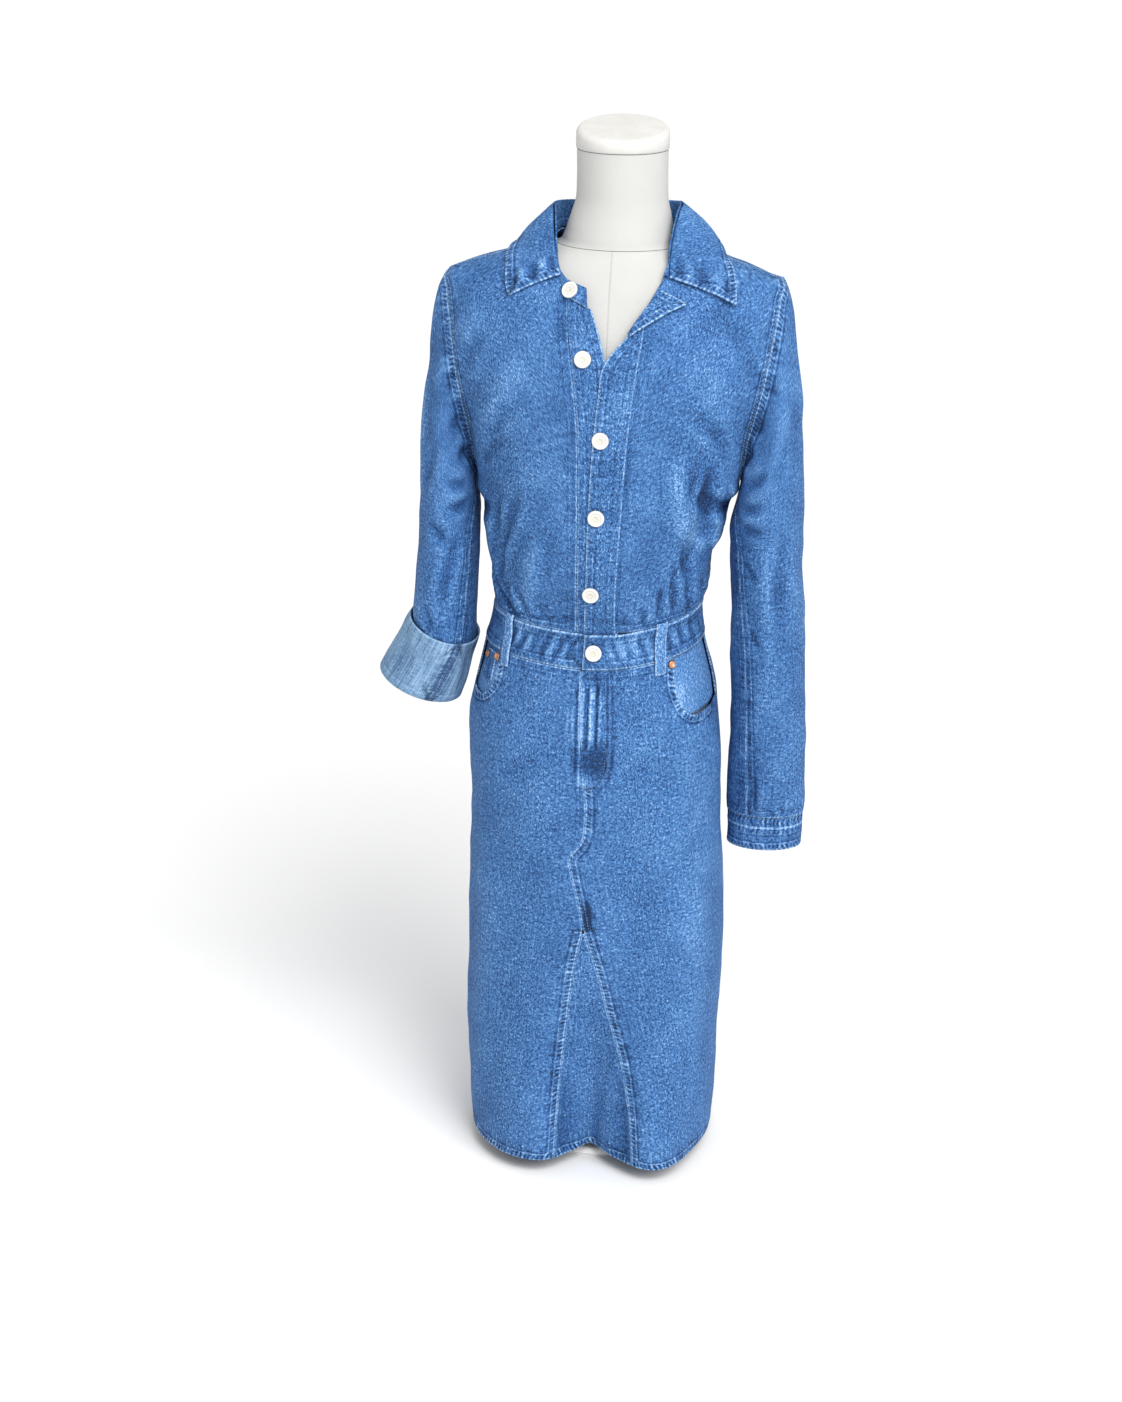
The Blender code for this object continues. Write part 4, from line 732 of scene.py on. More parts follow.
def surface_point(angle, z):
    """The point of the body at an angle in plan (radians) and a true height."""
    angle, z = np.broadcast_arrays(np.asarray(angle, float), np.asarray(z, float))
    half, front, back, shift, power = section(z)
    c, s = np.cos(angle), np.sin(angle)
    depth = np.where(s < 0, front, back)
    reach = (np.abs(c / half) ** power + np.abs(s / depth) ** power) ** (-1 / power) - fold_depth(angle, z)
    return np.stack([shift + reach * c, reach * s, z], axis=-1)


def body_point(angle, z, lift=0.0):
    """The point of the body at an angle in plan (radians) and a height, which the waistline raises."""
    return raised(surface_point(angle, with_waistline(angle, z)), lift)


def front_angle(x, z):
    """The angle in plan at which the front has the given x."""
    def is_left(angle):
        return surface_point(angle, with_waistline(angle, z))[..., 0] < x
    return turning_place(is_left, -math.pi, 0.0, np.shape(x))


def front_point(x, z, lift=0.0):
    return body_point(front_angle(np.asarray(x, float), z), z, lift)


def front_place(x, z):
    """The point of the front at an x and a true height."""
    angle = turning_place(lambda turn: surface_point(turn, z)[..., 0] < x, -math.pi, 0.0, np.shape(x))
    return surface_point(angle, z)


def side_point(side, y, z):
    """The point at the side of the body with the given y and height, for side -1 or 1."""
    half, front, back, shift, power = section(z)
    depth = np.where(y < 0, front, back)
    x = shift + side * half * (1 - np.abs(y / depth) ** power) ** (1 / power)
    return np.stack([x, y + 0 * x, z + 0 * x], axis=-1)


def top_point(x, y):
    """The point of the body's upper side over a place in plan."""
    def is_inside(z):
        return level(np.stack([x, y, z], axis=-1)) < 0
    return np.stack([x, y, turning_place(is_inside, 0.90, 1.09, np.shape(x), rounds=30)], axis=-1)


def spread(start, end, count):
    return np.linspace(start, end, count)


def across_line(line, z):
    """The x of a line of the front at some heights."""
    return read_column(line[:, 0], line[:, 1], z)


def stations(table, at):
    """Every column of a table, read at places counted in rows."""
    rows = np.arange(len(table), dtype=float)
    return [read_column(rows, table[:, k], at) for k in range(table.shape[1])]


def steps_for(length):
    """How many points a line of that length takes at the grid's step."""
    return max(3, round(length / CELL) + 1)


def patch(left, right, bottom, top):
    """A grid between four edge curves that meet at their ends."""
    u = spread(0, 1, len(bottom))[None, :, None]
    v = spread(0, 1, len(left))[:, None, None]
    across = (1 - u) * left[:, None] + u * right[:, None]
    up = (1 - v) * bottom[None] + v * top[None]
    corners = ((1 - u) * (1 - v) * bottom[0] + u * (1 - v) * bottom[-1]
               + (1 - u) * v * top[0] + u * v * top[-1])
    return across + up - corners


# ---- lines and heights on cloth -------------------------------------------------------------------------
def line_lengths(line):
    """How far along a polyline each of its points is."""
    return np.concatenate([[0.0], np.cumsum(np.linalg.norm(np.diff(line, axis=0), axis=1))])


def even_points(line, step):
    """Points at even steps along a polyline."""
    length = line_lengths(line)
    count = max(2, round(length[-1] / step) + 1)
    at = np.linspace(0, length[-1], count)
    return np.stack([np.interp(at, length, line[:, k]) for k in range(line.shape[1])], axis=-1)


def point_at(place, length, line):
    """The point of a polyline so far along it, given its points' lengths."""
    return np.array([np.interp(place, length, line[:, k]) for k in range(3)])


def near_line(points, line):
    """Distance from each point to a polyline, and how far along it the nearest place is."""
    flat = points.reshape(-1, 3)
    away = np.full(len(flat), 9.0)
    place = np.zeros(len(flat))
    begin = line_lengths(line)
    for k in range(len(line) - 1):
        step = line[k + 1] - line[k]
        size = np.linalg.norm(step)
        t = np.clip((flat - line[k]) @ step / max(size * size, 1e-12), 0, 1)
        here = np.linalg.norm(flat - line[k] - t[:, None] * step, axis=1)
        closer = here < away
        away[closer] = here[closer]
        place[closer] = begin[k] + t[closer] * size
    return away.reshape(points.shape[:-1]), place.reshape(points.shape[:-1])


def crease_height(points, creases):
    """Height of soft troughs and ridges, each along its own line, with a low shoulder on both sides."""
    total = np.zeros(points.shape[:-1])
    for line, width, depth in creases:
        if np.linalg.norm(points - line[len(line) // 2], axis=-1).min() > 0.15:
            continue
        away, place = near_line(points, line)
        t = place / line_lengths(line)[-1]
        fade = smooth_step(0.0, 0.35, t) * (1 - smooth_step(0.60, 1.0, t))
        r = away / (width * (0.65 + 0.35 * fade))
        total -= depth * fade * (np.exp(-r * r) - 0.40 * np.exp(-(((r - 1.9) / 0.9) ** 2)))
    return total


def ripple_height(points):
    total = np.zeros(points.shape[:-1])
    for x, y, z, phase, height in RIPPLES:
        total += height * np.sin(2 * math.pi * points @ np.array([x, y, z]) + phase)
    return total


# painted shade and highlight of the front's patches, and the cloth's own paler places
def patch_shade_and_tone(points):
    tone = np.zeros(points.shape[:-1])
    front = points[..., 1] < 0
    for x, z, reach_x, reach_z, amount in PATCHES:
        r = ((points[..., 0] - x) / reach_x) ** 2 + ((points[..., 2] - z) / reach_z) ** 2
        tone += amount * np.exp(-r * r) * front
    return tone


def body_creases():
    found = []
    for places, width, depth in CREASES:
        corner = np.array(places, dtype=float)
        corner[:, 1] *= 100.0                       # so that a degree and a centimetre weigh alike
        bend = smooth_corners(corner)
        found.append((surface_point(np.radians(bend[:, 0]), bend[:, 1] / 100.0), width, depth))
    return found


def body_light_and_shade_lines():
    """The lines of painted shade and highlight on the front, and painted shade in the hollows under the arms.
    """
    found = []
    for places, width, amount in PAINTED_LIGHT_AND_SHADE_LINES:
        curve = smooth_corners(places)
        found.append((front_place(curve[:, 0], curve[:, 1]), width, amount))
    for side in (-1, 1):
        for first, last, amount in UNDERARM_SHADES:
            found.append((armhole(side, spread(first, last, 10)), 0.0090, amount))
    return found


def smooth_corners(corner):
    """A smooth curve through a few corners."""
    corner = np.array(corner, dtype=float)
    return np.stack(stations(corner, spread(0, len(corner) - 1, 4 * (len(corner) - 1) + 1)), axis=-1)


def band_creases():
    found = []
    for angle, lean, depth in BAND_PUCKERS:
        z = spread(WAIST_LOW + 0.001, WAIST_HIGH - 0.001, 5)
        degrees = angle + lean * spread(-0.5, 0.5, 5)
        found.append((body_point(np.radians(degrees), z, BAND_LIFT), 0.0036, depth))
    return found


def grid_normals(grid, closed=False):
    """Outward direction at each point of a grid with rows upwards and columns to the right."""
    if closed:
        wide = np.concatenate([grid[:, -2:-1], grid, grid[:, 1:2]], axis=1)
        right = (wide[:, 2:] - wide[:, :-2]) / 2
    else:
        right = np.gradient(grid, axis=1)
    return unit(np.cross(right, np.gradient(grid, axis=0)))


class Cloth:
    """A piece of cloth: its grid of points on the solid's form, moved by creases, and what colours it."""

    def __init__(self, name, grid, seams, creases=(), closed=False, ripple=1.0, tone=0.0, shade=1.0):
        """seams are (line, strength): strength 1 is a roped, stitched edge. closed repeats the first column.

        shade says how much painted shade and highlight the creases and ripples give the cloth.
        """
        self.name = name
        self.base = np.concatenate([grid, grid[:, :1]], axis=1) if closed else grid
        self.closed = closed
        self.measure_seams(seams)
        out = grid_normals(self.base, closed)
        held = HELD_SHARE + (1 - HELD_SHARE) * smooth_step(0.0, HELD_REACH, self.seam)
        height = (ripple * ripple_height(self.base) + crease_height(self.base, creases)) * held
        lowest = np.minimum(FORM_CLEAR - form_gap(self.base), 0.0)
        height = np.maximum(height, lowest)
        self.points = self.base + height[..., None] * out
        self.normals = grid_normals(self.points, closed)
        # painted shading: the creases' and ripples' troughs get painted shade, their ridges painted highlight
        painted_crease_shading = np.clip(shade * PAINTED_SHADING_OF_HEIGHT * height, TONE_LOW, TONE_HIGH)
        self.tone = painted_crease_shading + patch_shade_and_tone(self.base) + tone
        self.weave = self.thread_lengths()

    def mark(self, marks):
        """Adds darker or paler lines, each with its half width and tone."""
        for line, width, amount in marks:
            if np.linalg.norm(self.base - line[len(line) // 2], axis=-1).min() > 0.15:
                continue
            away, _ = near_line(self.base, line)
            self.tone = self.tone + amount * np.exp(-(away / width) ** 2)

    def measure_seams(self, seams):
        shape = self.base.shape[:2]
        self.seam, self.run, self.rope = np.full(shape, SEAM_REACH), np.zeros(shape), np.zeros(shape)
        for line, strength in seams:
            away, place = near_line(self.base, even_points(line, 0.006))
            closer = away < self.seam
            self.seam[closer] = away[closer]
            self.run[closer] = place[closer]
            self.rope[closer] = strength

    def thread_lengths(self):
        """Lengths along the weft and the warp at each point."""
        middle = self.base.shape[1] // 2
        across = np.linalg.norm(np.diff(self.base, axis=1), axis=-1)
        u = np.concatenate([np.zeros((len(across), 1)), np.cumsum(across, axis=1)], axis=1)
        u = u - u[:, middle:middle + 1]
        v = line_lengths(self.base[:, middle])[:, None] + 0 * u
        return np.stack([u, v, 0 * u], axis=-1)

    def inset(self, side, distance, first=0.0, last=1.0):
        """The line on the cloth at a distance from one side of its grid, between two shares of that side."""
        points, normals = self.points, self.normals
        if side in ("bottom", "top"):
            points, normals = points.swapaxes(0, 1), normals.swapaxes(0, 1)
        if side in ("right", "top"):
            points, normals = points[:, ::-1], normals[:, ::-1]
        count = len(points)
        chosen = range(int(first * (count - 1)), int(last * (count - 1)) + 1)
        found = []
        for k in chosen:
            length = line_lengths(points[k])
            columns = [np.interp(distance, length, points[k, :, c]) for c in range(3)]
            columns += [np.interp(distance, length, normals[k, :, c]) for c in range(3)]
            found.append(columns)
        found = np.array(found)
        return found[:, :3], found[:, 3:]

    def tree(self):
        rows, columns = self.points.shape[:2]
        return BVHTree.FromPolygons(self.points.reshape(-1, 3).tolist(), grid_faces(rows, columns))

    def snapped(self, line):
        """A line's nearest points on the cloth, with the cloth's outward directions."""
        tree = self.tree()
        found = [tree.find_nearest(Vector(p)) for p in even_points(line, 0.0015)]
        return np.array([f[0] for f in found]), np.array([f[1] for f in found])


def grid_faces(rows, columns):
    return [(r * columns + c, r * columns + c + 1, (r + 1) * columns + c + 1, (r + 1) * columns + c)
            for r in range(rows - 1) for c in range(columns - 1)]


def add_object(name, mesh, finish):
    made = bpy.data.objects.new(name, mesh)
    bpy.context.scene.collection.objects.link(made)
    mesh.materials.append(finish)
    return made


def set_attribute(mesh, name, values):
    """Keeps a number or a vector for each point of a mesh."""
    kind, field = ("FLOAT_VECTOR", "vector") if values.ndim == 3 else ("FLOAT", "value")
    mesh.attributes.new(name, kind, "POINT").data.foreach_set(field, np.ascontiguousarray(values).ravel())


def cloth_object(cloth, wall, finish, mouth=None):
    """The cloth as an object: its outer face is the grid, and the wall goes inwards."""
    rows, columns = cloth.points.shape[:2]
    mesh = bpy.data.meshes.new(cloth.name)
    mesh.from_pydata(cloth.points.reshape(-1, 3).tolist(), [], grid_faces(rows, columns))
    for name in ("seam", "run", "rope", "tone", "weave"):
        set_attribute(mesh, name, getattr(cloth, name))
    if mouth:
        cut_mouth(mesh, mouth)
    mesh.shade_smooth()
    piece = add_object(cloth.name + "_cloth", mesh, finish)
    thick = piece.modifiers.new("wall", "SOLIDIFY")
    thick.thickness = wall
    thick.offset = -1.0
    return piece


# ---- stitches -------------------------------------------------------------------------------------------
def stitch_mesh(name, rows, finish):
    """One mesh of all the stitches along some rows, each row a line of points and outward directions."""
    around = [(math.cos(a), math.sin(a)) for a in (0.0, math.pi / 2, math.pi, 1.5 * math.pi)]
    verts, faces = [], []
    for points, normals in rows:
        length = line_lengths(points)
        count = int(length[-1] / STITCH_PITCH)
        starts = (np.arange(count) + 0.2) * STITCH_PITCH
        for start in starts:
            ends = [point_at(start + ahead, length, points) for ahead in (0.0, STITCH)]
            up = point_at(start, length, normals)
            up /= np.linalg.norm(up)
            run = ends[1] - ends[0]
            side = np.cross(run, up)
            side /= max(np.linalg.norm(side), 1e-9)
            first = len(verts)
            verts.append(ends[0] - up * 0.0002)
            for share in (0.22, 0.78):
                middle = ends[0] + run * share + up * THREAD * 0.7
                verts += [middle + (side * x + up * y) * THREAD for x, y in around]
            verts.append(ends[1] - up * 0.0002)
            for k in range(4):
                d = (k + 1) % 4
                a, b = first + 1 + k, first + 1 + d
                faces += [(first, b, a), (a, b, b + 4, a + 4), (first + 9, a + 4, b + 4)]
    mesh = bpy.data.meshes.new(name)
    mesh.from_pydata([tuple(v) for v in verts], [], faces)
    mesh.shade_smooth()
    return add_object(name, mesh, finish)


# ---- materials ------------------------------------------------------------------------------------------
class Shader:
    """A material's nodes in few words: a call takes sockets or numbers and gives a socket."""

    def __init__(self, name):
        self.material = bpy.data.materials.new(name)
        self.material.use_nodes = True
        self.tree = self.material.node_tree
        self.surface = self.tree.nodes["Principled BSDF"]

    def put(self, socket, value):
        if isinstance(value, bpy.types.NodeSocket):
            self.tree.links.new(value, socket)
        else:
            socket.default_value = value

    def node(self, kind, inputs, **settings):
        made = self.tree.nodes.new(kind)
        for key, value in settings.items():
            setattr(made, key, value)
        for key, value in inputs.items():
            self.put(made.inputs[key], value)
        return made

    def calc(self, operation, *values):
        return self.node("ShaderNodeMath", dict(enumerate(values)), operation=operation).outputs[0]

    def times(self, *values):
        return self.calc("MULTIPLY", *values)

    def total(self, first, *values):
        for value in values:
            first = self.calc("ADD", first, value)
        return first

    def blend(self, start, *terms):
        """A start and a sum of terms, each a socket and its weight."""
        return self.total(start, *(self.times(term, weight) for term, weight in terms))

    def excess(self, value, limit):
        """How far a value is over a limit, or 0."""
        return self.calc("MAXIMUM", self.calc("SUBTRACT", value, limit), 0.0)

    def line(self, value, centre, start, end):
        """1 where the value is within start of the centre, 0 from end on."""
        return self.fade(self.calc("ABSOLUTE", self.calc("SUBTRACT", value, centre)), start, end)

    def object_place(self):
        return self.node("ShaderNodeTexCoord", {}).outputs["Object"]

    def attribute(self, name, output="Fac"):
        return self.node("ShaderNodeAttribute", {}, attribute_name=name).outputs[output]

    def noise(self, at, scale, detail=2.0, roughness=0.5):
        """Noise from -0.5 to 0.5, with so many features a metre along each axis."""
        stretched = self.node("ShaderNodeVectorMath", {0: at, 1: scale}, operation="MULTIPLY").outputs[0]
        made = self.node("ShaderNodeTexNoise", {"Vector": stretched, "Scale": 1.0, "Detail": detail,
                                                "Roughness": roughness})
        return self.calc("SUBTRACT", made.outputs[0], 0.5)

    def fade(self, value, start, end):
        """1 below the start, 0 above the end, smooth between."""
        inputs = {"Value": value, "From Min": start, "From Max": end, "To Min": 1.0, "To Max": 0.0}
        return self.node("ShaderNodeMapRange", inputs, interpolation_type="SMOOTHSTEP").outputs["Result"]

    def ramp(self, value, stops):
        made = self.node("ShaderNodeValToRGB", {"Fac": value})
        elements = made.color_ramp.elements
        while len(elements) < len(stops):
            elements.new(0.5)
        for element, (place, colour) in zip(elements, stops):
            element.position = place
            element.color = (*colour, 1.0)
        return made.outputs["Color"]

    def finish(self, colour, roughness, height=None, metallic=0.0, shine=0.2):
        """Sets the surface. The height, in metres, is seen as bumps."""
        self.put(self.surface.inputs["Base Color"], colour)
        self.put(self.surface.inputs["Roughness"], roughness)
        self.surface.inputs["Metallic"].default_value = metallic
        self.surface.inputs["Specular IOR Level"].default_value = shine
        if height is not None:
            bump = self.node("ShaderNodeBump", {"Height": height, "Distance": 1.0, "Strength": 1.0})
            self.put(self.surface.inputs["Normal"], bump.outputs["Normal"])
        return self.material


BLUES = [(0.0, (0.009, 0.026, 0.078)), (0.25, (0.020, 0.066, 0.190)), (0.5, (0.049, 0.149, 0.366)),
         (0.75, (0.126, 0.274, 0.532)), (1.0, (0.380, 0.560, 0.800))]
PALE_BLUES = [(0.0, (0.040, 0.085, 0.190)), (0.3, (0.100, 0.190, 0.330)), (0.55, (0.195, 0.330, 0.500)),
              (0.8, (0.310, 0.450, 0.610)), (1.0, (0.520, 0.650, 0.780))]
THREAD_BLUES = [(0.3, (0.060, 0.140, 0.300)), (0.5, (0.180, 0.310, 0.500)), (0.7, (0.380, 0.510, 0.690))]
PEARLS = [  # from the middle of a button to its rim; the grey and pale rings and the darker rim are painted shade and highlight over the dish, the dimple and the rounded rim
    (0.0, (0.56, 0.50, 0.38)), (0.20, (0.66, 0.62, 0.52)), (0.32, (0.48, 0.47, 0.42)),
    (0.42, (0.70, 0.69, 0.65)),
    (0.62, (0.54, 0.54, 0.51)), (0.74, (0.76, 0.76, 0.73)), (0.92, (0.74, 0.73, 0.69)),
    (1.0, (0.50, 0.47, 0.40)),
]
COPPERS = [
    (0.0, (0.86, 0.62, 0.48)), (0.35, (0.74, 0.38, 0.22)), (0.75, (0.60, 0.27, 0.15)),
    (1.0, (0.26, 0.12, 0.09)),
]
OFF_WHITES = [(0.2, (0.32, 0.31, 0.29)), (0.55, (0.495, 0.492, 0.475)), (0.9, (0.57, 0.57, 0.555))]
FLOOR_GREYS = [(0.3, (0.91, 0.91, 0.91)), (0.7, (0.93, 0.93, 0.93))]


def denim(name, blues, grain, streaks, tick):
    """Worn denim: grain of the yarns, streaks, clouds of wear, and stitched edges that have roped."""
    shader = Shader(name)
    weave = shader.attribute("weave", "Vector")
    seam, run = shader.attribute("seam"), shader.attribute("run")
    rope, tone = shader.attribute("rope"), shader.attribute("tone")
    yarn = shader.noise(weave, (680.0, 420.0, 1.0), 2.0, 0.7)
    fleck = shader.noise(weave, (330.0, 210.0, 1.0), 1.0, 0.5)
    streak = shader.noise(weave, (460.0, 20.0, 1.0), 1.0, 0.5)
    cloud = shader.noise(weave, (42.0, 30.0, 1.0), 3.0, 0.6)
    haze = shader.noise(weave, (9.0, 6.0, 1.0), 2.0, 0.5)

    # a roped edge: ticks along its stitched band and a pale rim, from wear; beside the band a paler rib and a
    # darker groove that are only colour: painted highlight and painted shade
    band = shader.times(shader.fade(seam, 0.0066, 0.0078), rope)
    lean = shader.times(seam, 420.0)
    wander = shader.times(shader.noise(weave, (60.0, 60.0, 1.0), 1.0), 9.0)
    phase = shader.total(shader.times(run, 2 * math.pi / TICK_PITCH), lean, wander)
    strong = shader.times(shader.excess(rope, 0.45), 1.8)
    uneven = shader.calc("MULTIPLY_ADD", shader.noise(weave, (70.0, 70.0, 1.0), 1.0), 2.6, 0.9)
    ticks = shader.times(shader.times(shader.calc("SINE", phase), shader.times(band, strong)), uneven)
    edge = shader.times(shader.fade(seam, 0.0009, 0.0020), shader.calc("MINIMUM", rope, 0.65))
    rib = shader.times(shader.line(seam, 0.0074, 0.0003, 0.0013), rope)
    groove = shader.times(shader.line(seam, 0.0098, 0.0003, 0.0022), rope)

    # puckers and dark spots beside a seam; the puckers are paler where raised and darker where sunk, as wear
    # of the roped seam and as painted highlight and shade
    place = shader.node("ShaderNodeCombineXYZ", {"X": run, "Y": seam}).outputs[0]
    beside = shader.times(shader.fade(seam, 0.006, 0.022), rope)
    pucker = shader.times(shader.noise(place, (150.0, 45.0, 1.0), 2.0, 0.5), beside)
    spots = shader.times(shader.noise(place, (48.0, 70.0, 1.0), 1.0, 0.5), beside)
    spots = shader.excess(spots, 0.09)

    # tone: painted shade and highlight of creases, folds and hollows, with the cloth's own paler and darker
    # places
    value = shader.blend(
        shader.calc("ADD", 0.46, tone), (yarn, 1.60 * grain), (fleck, 0.70 * grain), (streak, streaks),
        (cloud, 0.20), (haze, 0.10), (ticks, 0.26 * tick), (edge, 0.62), (rib, 0.20), (groove, -0.20),
        (pucker, 1.10), (spots, -2.2), (band, -0.07))
    across = {0: weave, 1: (5200.0, 3000.0, 0.0)}
    twill = shader.node("ShaderNodeVectorMath", across, operation="DOT_PRODUCT").outputs["Value"]
    height = shader.blend(
        shader.times(yarn, 0.00034), (shader.calc("SINE", twill), 0.00002), (ticks, 0.00025), (band, 0.00060),
        (pucker, 0.0026), (cloud, 0.0006))
    rough = shader.blend(0.84, (yarn, 0.2))
    return shader.finish(shader.ramp(value, blues), rough, height)


def thread_material():
    """Thread that is bleached in places."""
    shader = Shader("thread")
    at = shader.object_place()
    worn = shader.calc("ADD", 0.5, shader.noise(at, (90.0, 90.0, 90.0), 2.0))
    return shader.finish(shader.ramp(worn, THREAD_BLUES), 0.7)


def pearl_material():
    """Milky shell: creamy in the middle and at the rim, with a faint cloud; grey and pale rings and the
    darker rim are painted shade and highlight.
    """
    shader = Shader("pearl")
    across = shader.attribute("radial")
    at = shader.object_place()
    cloud = shader.noise(at, (160.0, 160.0, 160.0), 3.0, 0.6)
    value = shader.blend(across, (cloud, 0.16))
    return shader.finish(shader.ramp(value, PEARLS), 0.30, shader.times(cloud, 0.00010), shine=0.5)


def copper_material():
    """Rivets, worn bright in the middle and stained at the rim."""
    shader = Shader("copper")
    across = shader.attribute("radial")
    at = shader.object_place()
    stain = shader.noise(at, (700.0, 700.0, 700.0), 3.0, 0.6)
    value = shader.blend(across, (stain, 0.5))
    height = shader.times(stain, 0.00006)
    return shader.finish(shader.ramp(value, COPPERS), 0.42, height, metallic=0.75, shine=0.5)


def form_material(name, seamed):
    """Off-white jersey cover; seamed, it has a seam down the front and back."""
    shader = Shader(name)
    at = shader.object_place()
    split = shader.node("ShaderNodeSeparateXYZ", {"Vector": at})
    line = shader.times(shader.line(split.outputs["X"], 0.0018, 0.0002, 0.0016), seamed)
    knit = shader.noise(at, (900.0, 900.0, 700.0), 2.0, 0.6)
    cloud = shader.noise(at, (30.0, 30.0, 18.0), 3.0, 0.55)
    value = shader.blend(0.62, (knit, 0.20), (cloud, 0.24), (line, -0.16))
    height = shader.blend(shader.times(knit, 0.00012), (cloud, 0.0005), (line, -0.0003))
    return shader.finish(shader.ramp(value, OFF_WHITES), 0.86, height)


def paint_material(name, light, dark, roughness):
    """Plain paint with a faint cloud between a light and a dark shade."""
    shader = Shader(name)
    at = shader.object_place()
    cloud = shader.noise(at, (55.0, 55.0, 40.0), 4.0, 0.6)
    colour = shader.ramp(shader.calc("ADD", 0.5, cloud), [(0.3, dark), (0.7, light)])
    return shader.finish(colour, roughness, shader.times(cloud, 0.00012))


def floor_material():
    """The plain pale floor."""
    shader = Shader("studio_floor")
    at = shader.object_place()
    cloud = shader.noise(at, (0.8, 0.8, 0.8), 2.0)
    return shader.finish(shader.ramp(shader.calc("ADD", 0.5, cloud), FLOOR_GREYS), 0.9)


# ---- pieces ---------------------------------------------------------------------------------------------
class Workshop:
    """Adds finished pieces to the frame, each standing for a node of the part."""

    def __init__(self):
        self.body_creases = body_creases()
        # lines of painted shade and highlight on the front, and under the arms
        self.marks = body_light_and_shade_lines()
        self.thread = thread_material()
        self.form = form_material("form_cover", 1.0)
        self.neck = form_material("neck_cover", 0.0)
        self.finishes = {
            "denim": denim("worn_denim", BLUES, 1.0, 0.28, 1.0),
            "denim_wrong_side": denim("denim_wrong_side", PALE_BLUES, 0.55, 0.85, 0.6),
            "pocket_denim": denim("pocket_denim", BLUES, 0.8, 0.28, 0.0),
            "button_pearl": pearl_material(),
            "rivet_copper": copper_material(),
            "cap_paint": paint_material("cap_paint", (0.64, 0.635, 0.61), (0.58, 0.57, 0.54), 0.5),
            "stand_paint": paint_material("stand_paint", (0.86, 0.86, 0.85), (0.78, 0.78, 0.77), 0.4),
        }

    def place(self, piece, node, slot):
        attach(piece, "root")
        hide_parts(node)

    def sew(self, cloth, rows=(), slot="denim", mouth=None):
        """Makes a piece of cloth with its stitches."""
        kind = "belt_loop" if cloth.name.startswith("belt_loop") else cloth.name
        # paints the body's lines of shade and highlight onto the cloth
        cloth.mark(self.marks)
        piece = cloth_object(cloth, WALLS.get(kind, CLOTH), self.finishes[slot], mouth)
        self.place(piece, cloth.name, slot)
        rows = [*rows, *(cloth.inset(side, away) for side, away in STITCH_ROWS.get(kind, ()))]
        if rows:
            stitches = stitch_mesh(cloth.name + "_stitches", rows, self.thread)
            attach(stitches, "root")


def double(cloth, side, first=0.0, last=1.0):
    """Two rows of stitches beside a side of the cloth, between two shares of it."""
    return [cloth.inset(side, away, first, last) for away in DOUBLE_ROWS]


def side_angle(side):
    """The angle in plan at which a front ends, at the side seam."""
    return -SIDE_GAP if side > 0 else SIDE_GAP - math.pi


def armhole(side, turn, inset=0.0):
    """The armhole's edge: turn 0 at the shoulder, +-pi under the arm, less than 0 in front."""
    rise = 1 - np.abs(turn) / math.pi
    middle, reach = (SHOULDER_TIP + UNDERARM) / 2, (SHOULDER_TIP - UNDERARM) / 2 - inset
    z = middle - reach * np.cos(math.pi * rise)
    depth = np.where(turn < 0, ARMHOLE_FRONT - inset, ARMHOLE_BACK - inset)
    return side_point(side, np.sign(turn) * depth * np.sin(math.pi * rise), z)


def outer_edge(side, face):
    """Side seam, armhole and shoulder seam of a front (face -1) or back (face 1), from waist to neck."""
    seam_rows, armhole_rows, shoulder_rows = BODICE_ROWS
    y = face * SEAM / 2
    z = with_waistline(0.0 if side > 0 else math.pi, spread(WAIST_HIGH + SEAM, UNDERARM - SEAM, seam_rows))
    turns = face * math.pi * (1 - spread(0, 1, armhole_rows + 2)[1:-1])
    neck = top_point(np.array(NECK_CORNERS[side]), np.array(0.0))[2]
    shoulder = side_point(side, y, spread(SHOULDER_TIP, neck, shoulder_rows))
    return np.concatenate([side_point(side, y, z), armhole(side, turns), shoulder])


def neckline(first, last, count):
    """The neckline between two stations of the collar table."""
    x, y = stations(COLLAR, spread(first, last, count))[:2]
    return settle(top_point(x, y))


def bodice_front(shop, name, side, edge, neck_from):
    outer = outer_edge(side, -1)
    columns = steps_for(FRONT_WIDTH)
    neck = neckline(neck_from, SHOULDER_STATIONS[side], columns)
    neck[-1] = outer[-1]
    z = spread(WAIST_HIGH + SEAM, neck[0][2], len(outer))
    inner = front_point(across_line(edge, z) + side * SEAM / 2, z)
    inner[-1] = neck[0]
    bottom = body_point(spread(front_angle(inner[0][0], z[0]), side_angle(side), columns), z[0])
    bottom[0], bottom[-1] = inner[0], outer[0]
    grid = settle(patch(inner, outer, bottom, neck))
    seam_end, armhole_end = BODICE_ROWS[0], BODICE_ROWS[0] + BODICE_ROWS[1]
    seams = [(outer[:seam_end], 0.5), (outer[seam_end:armhole_end], 0.9), (outer[armhole_end:], 0.7),
             (inner, 0.45 if side < 0 else 0.0), (bottom, 0.55)]
    cloth = Cloth(name, grid if side > 0 else grid[:, ::-1], seams, shop.body_creases)
    outside = "right" if side > 0 else "left"
    starts, ends = seam_end / len(outer), armhole_end / len(outer)
    shop.sew(cloth, double(cloth, outside, starts, ends) + double(cloth, outside, ends, 1.0))


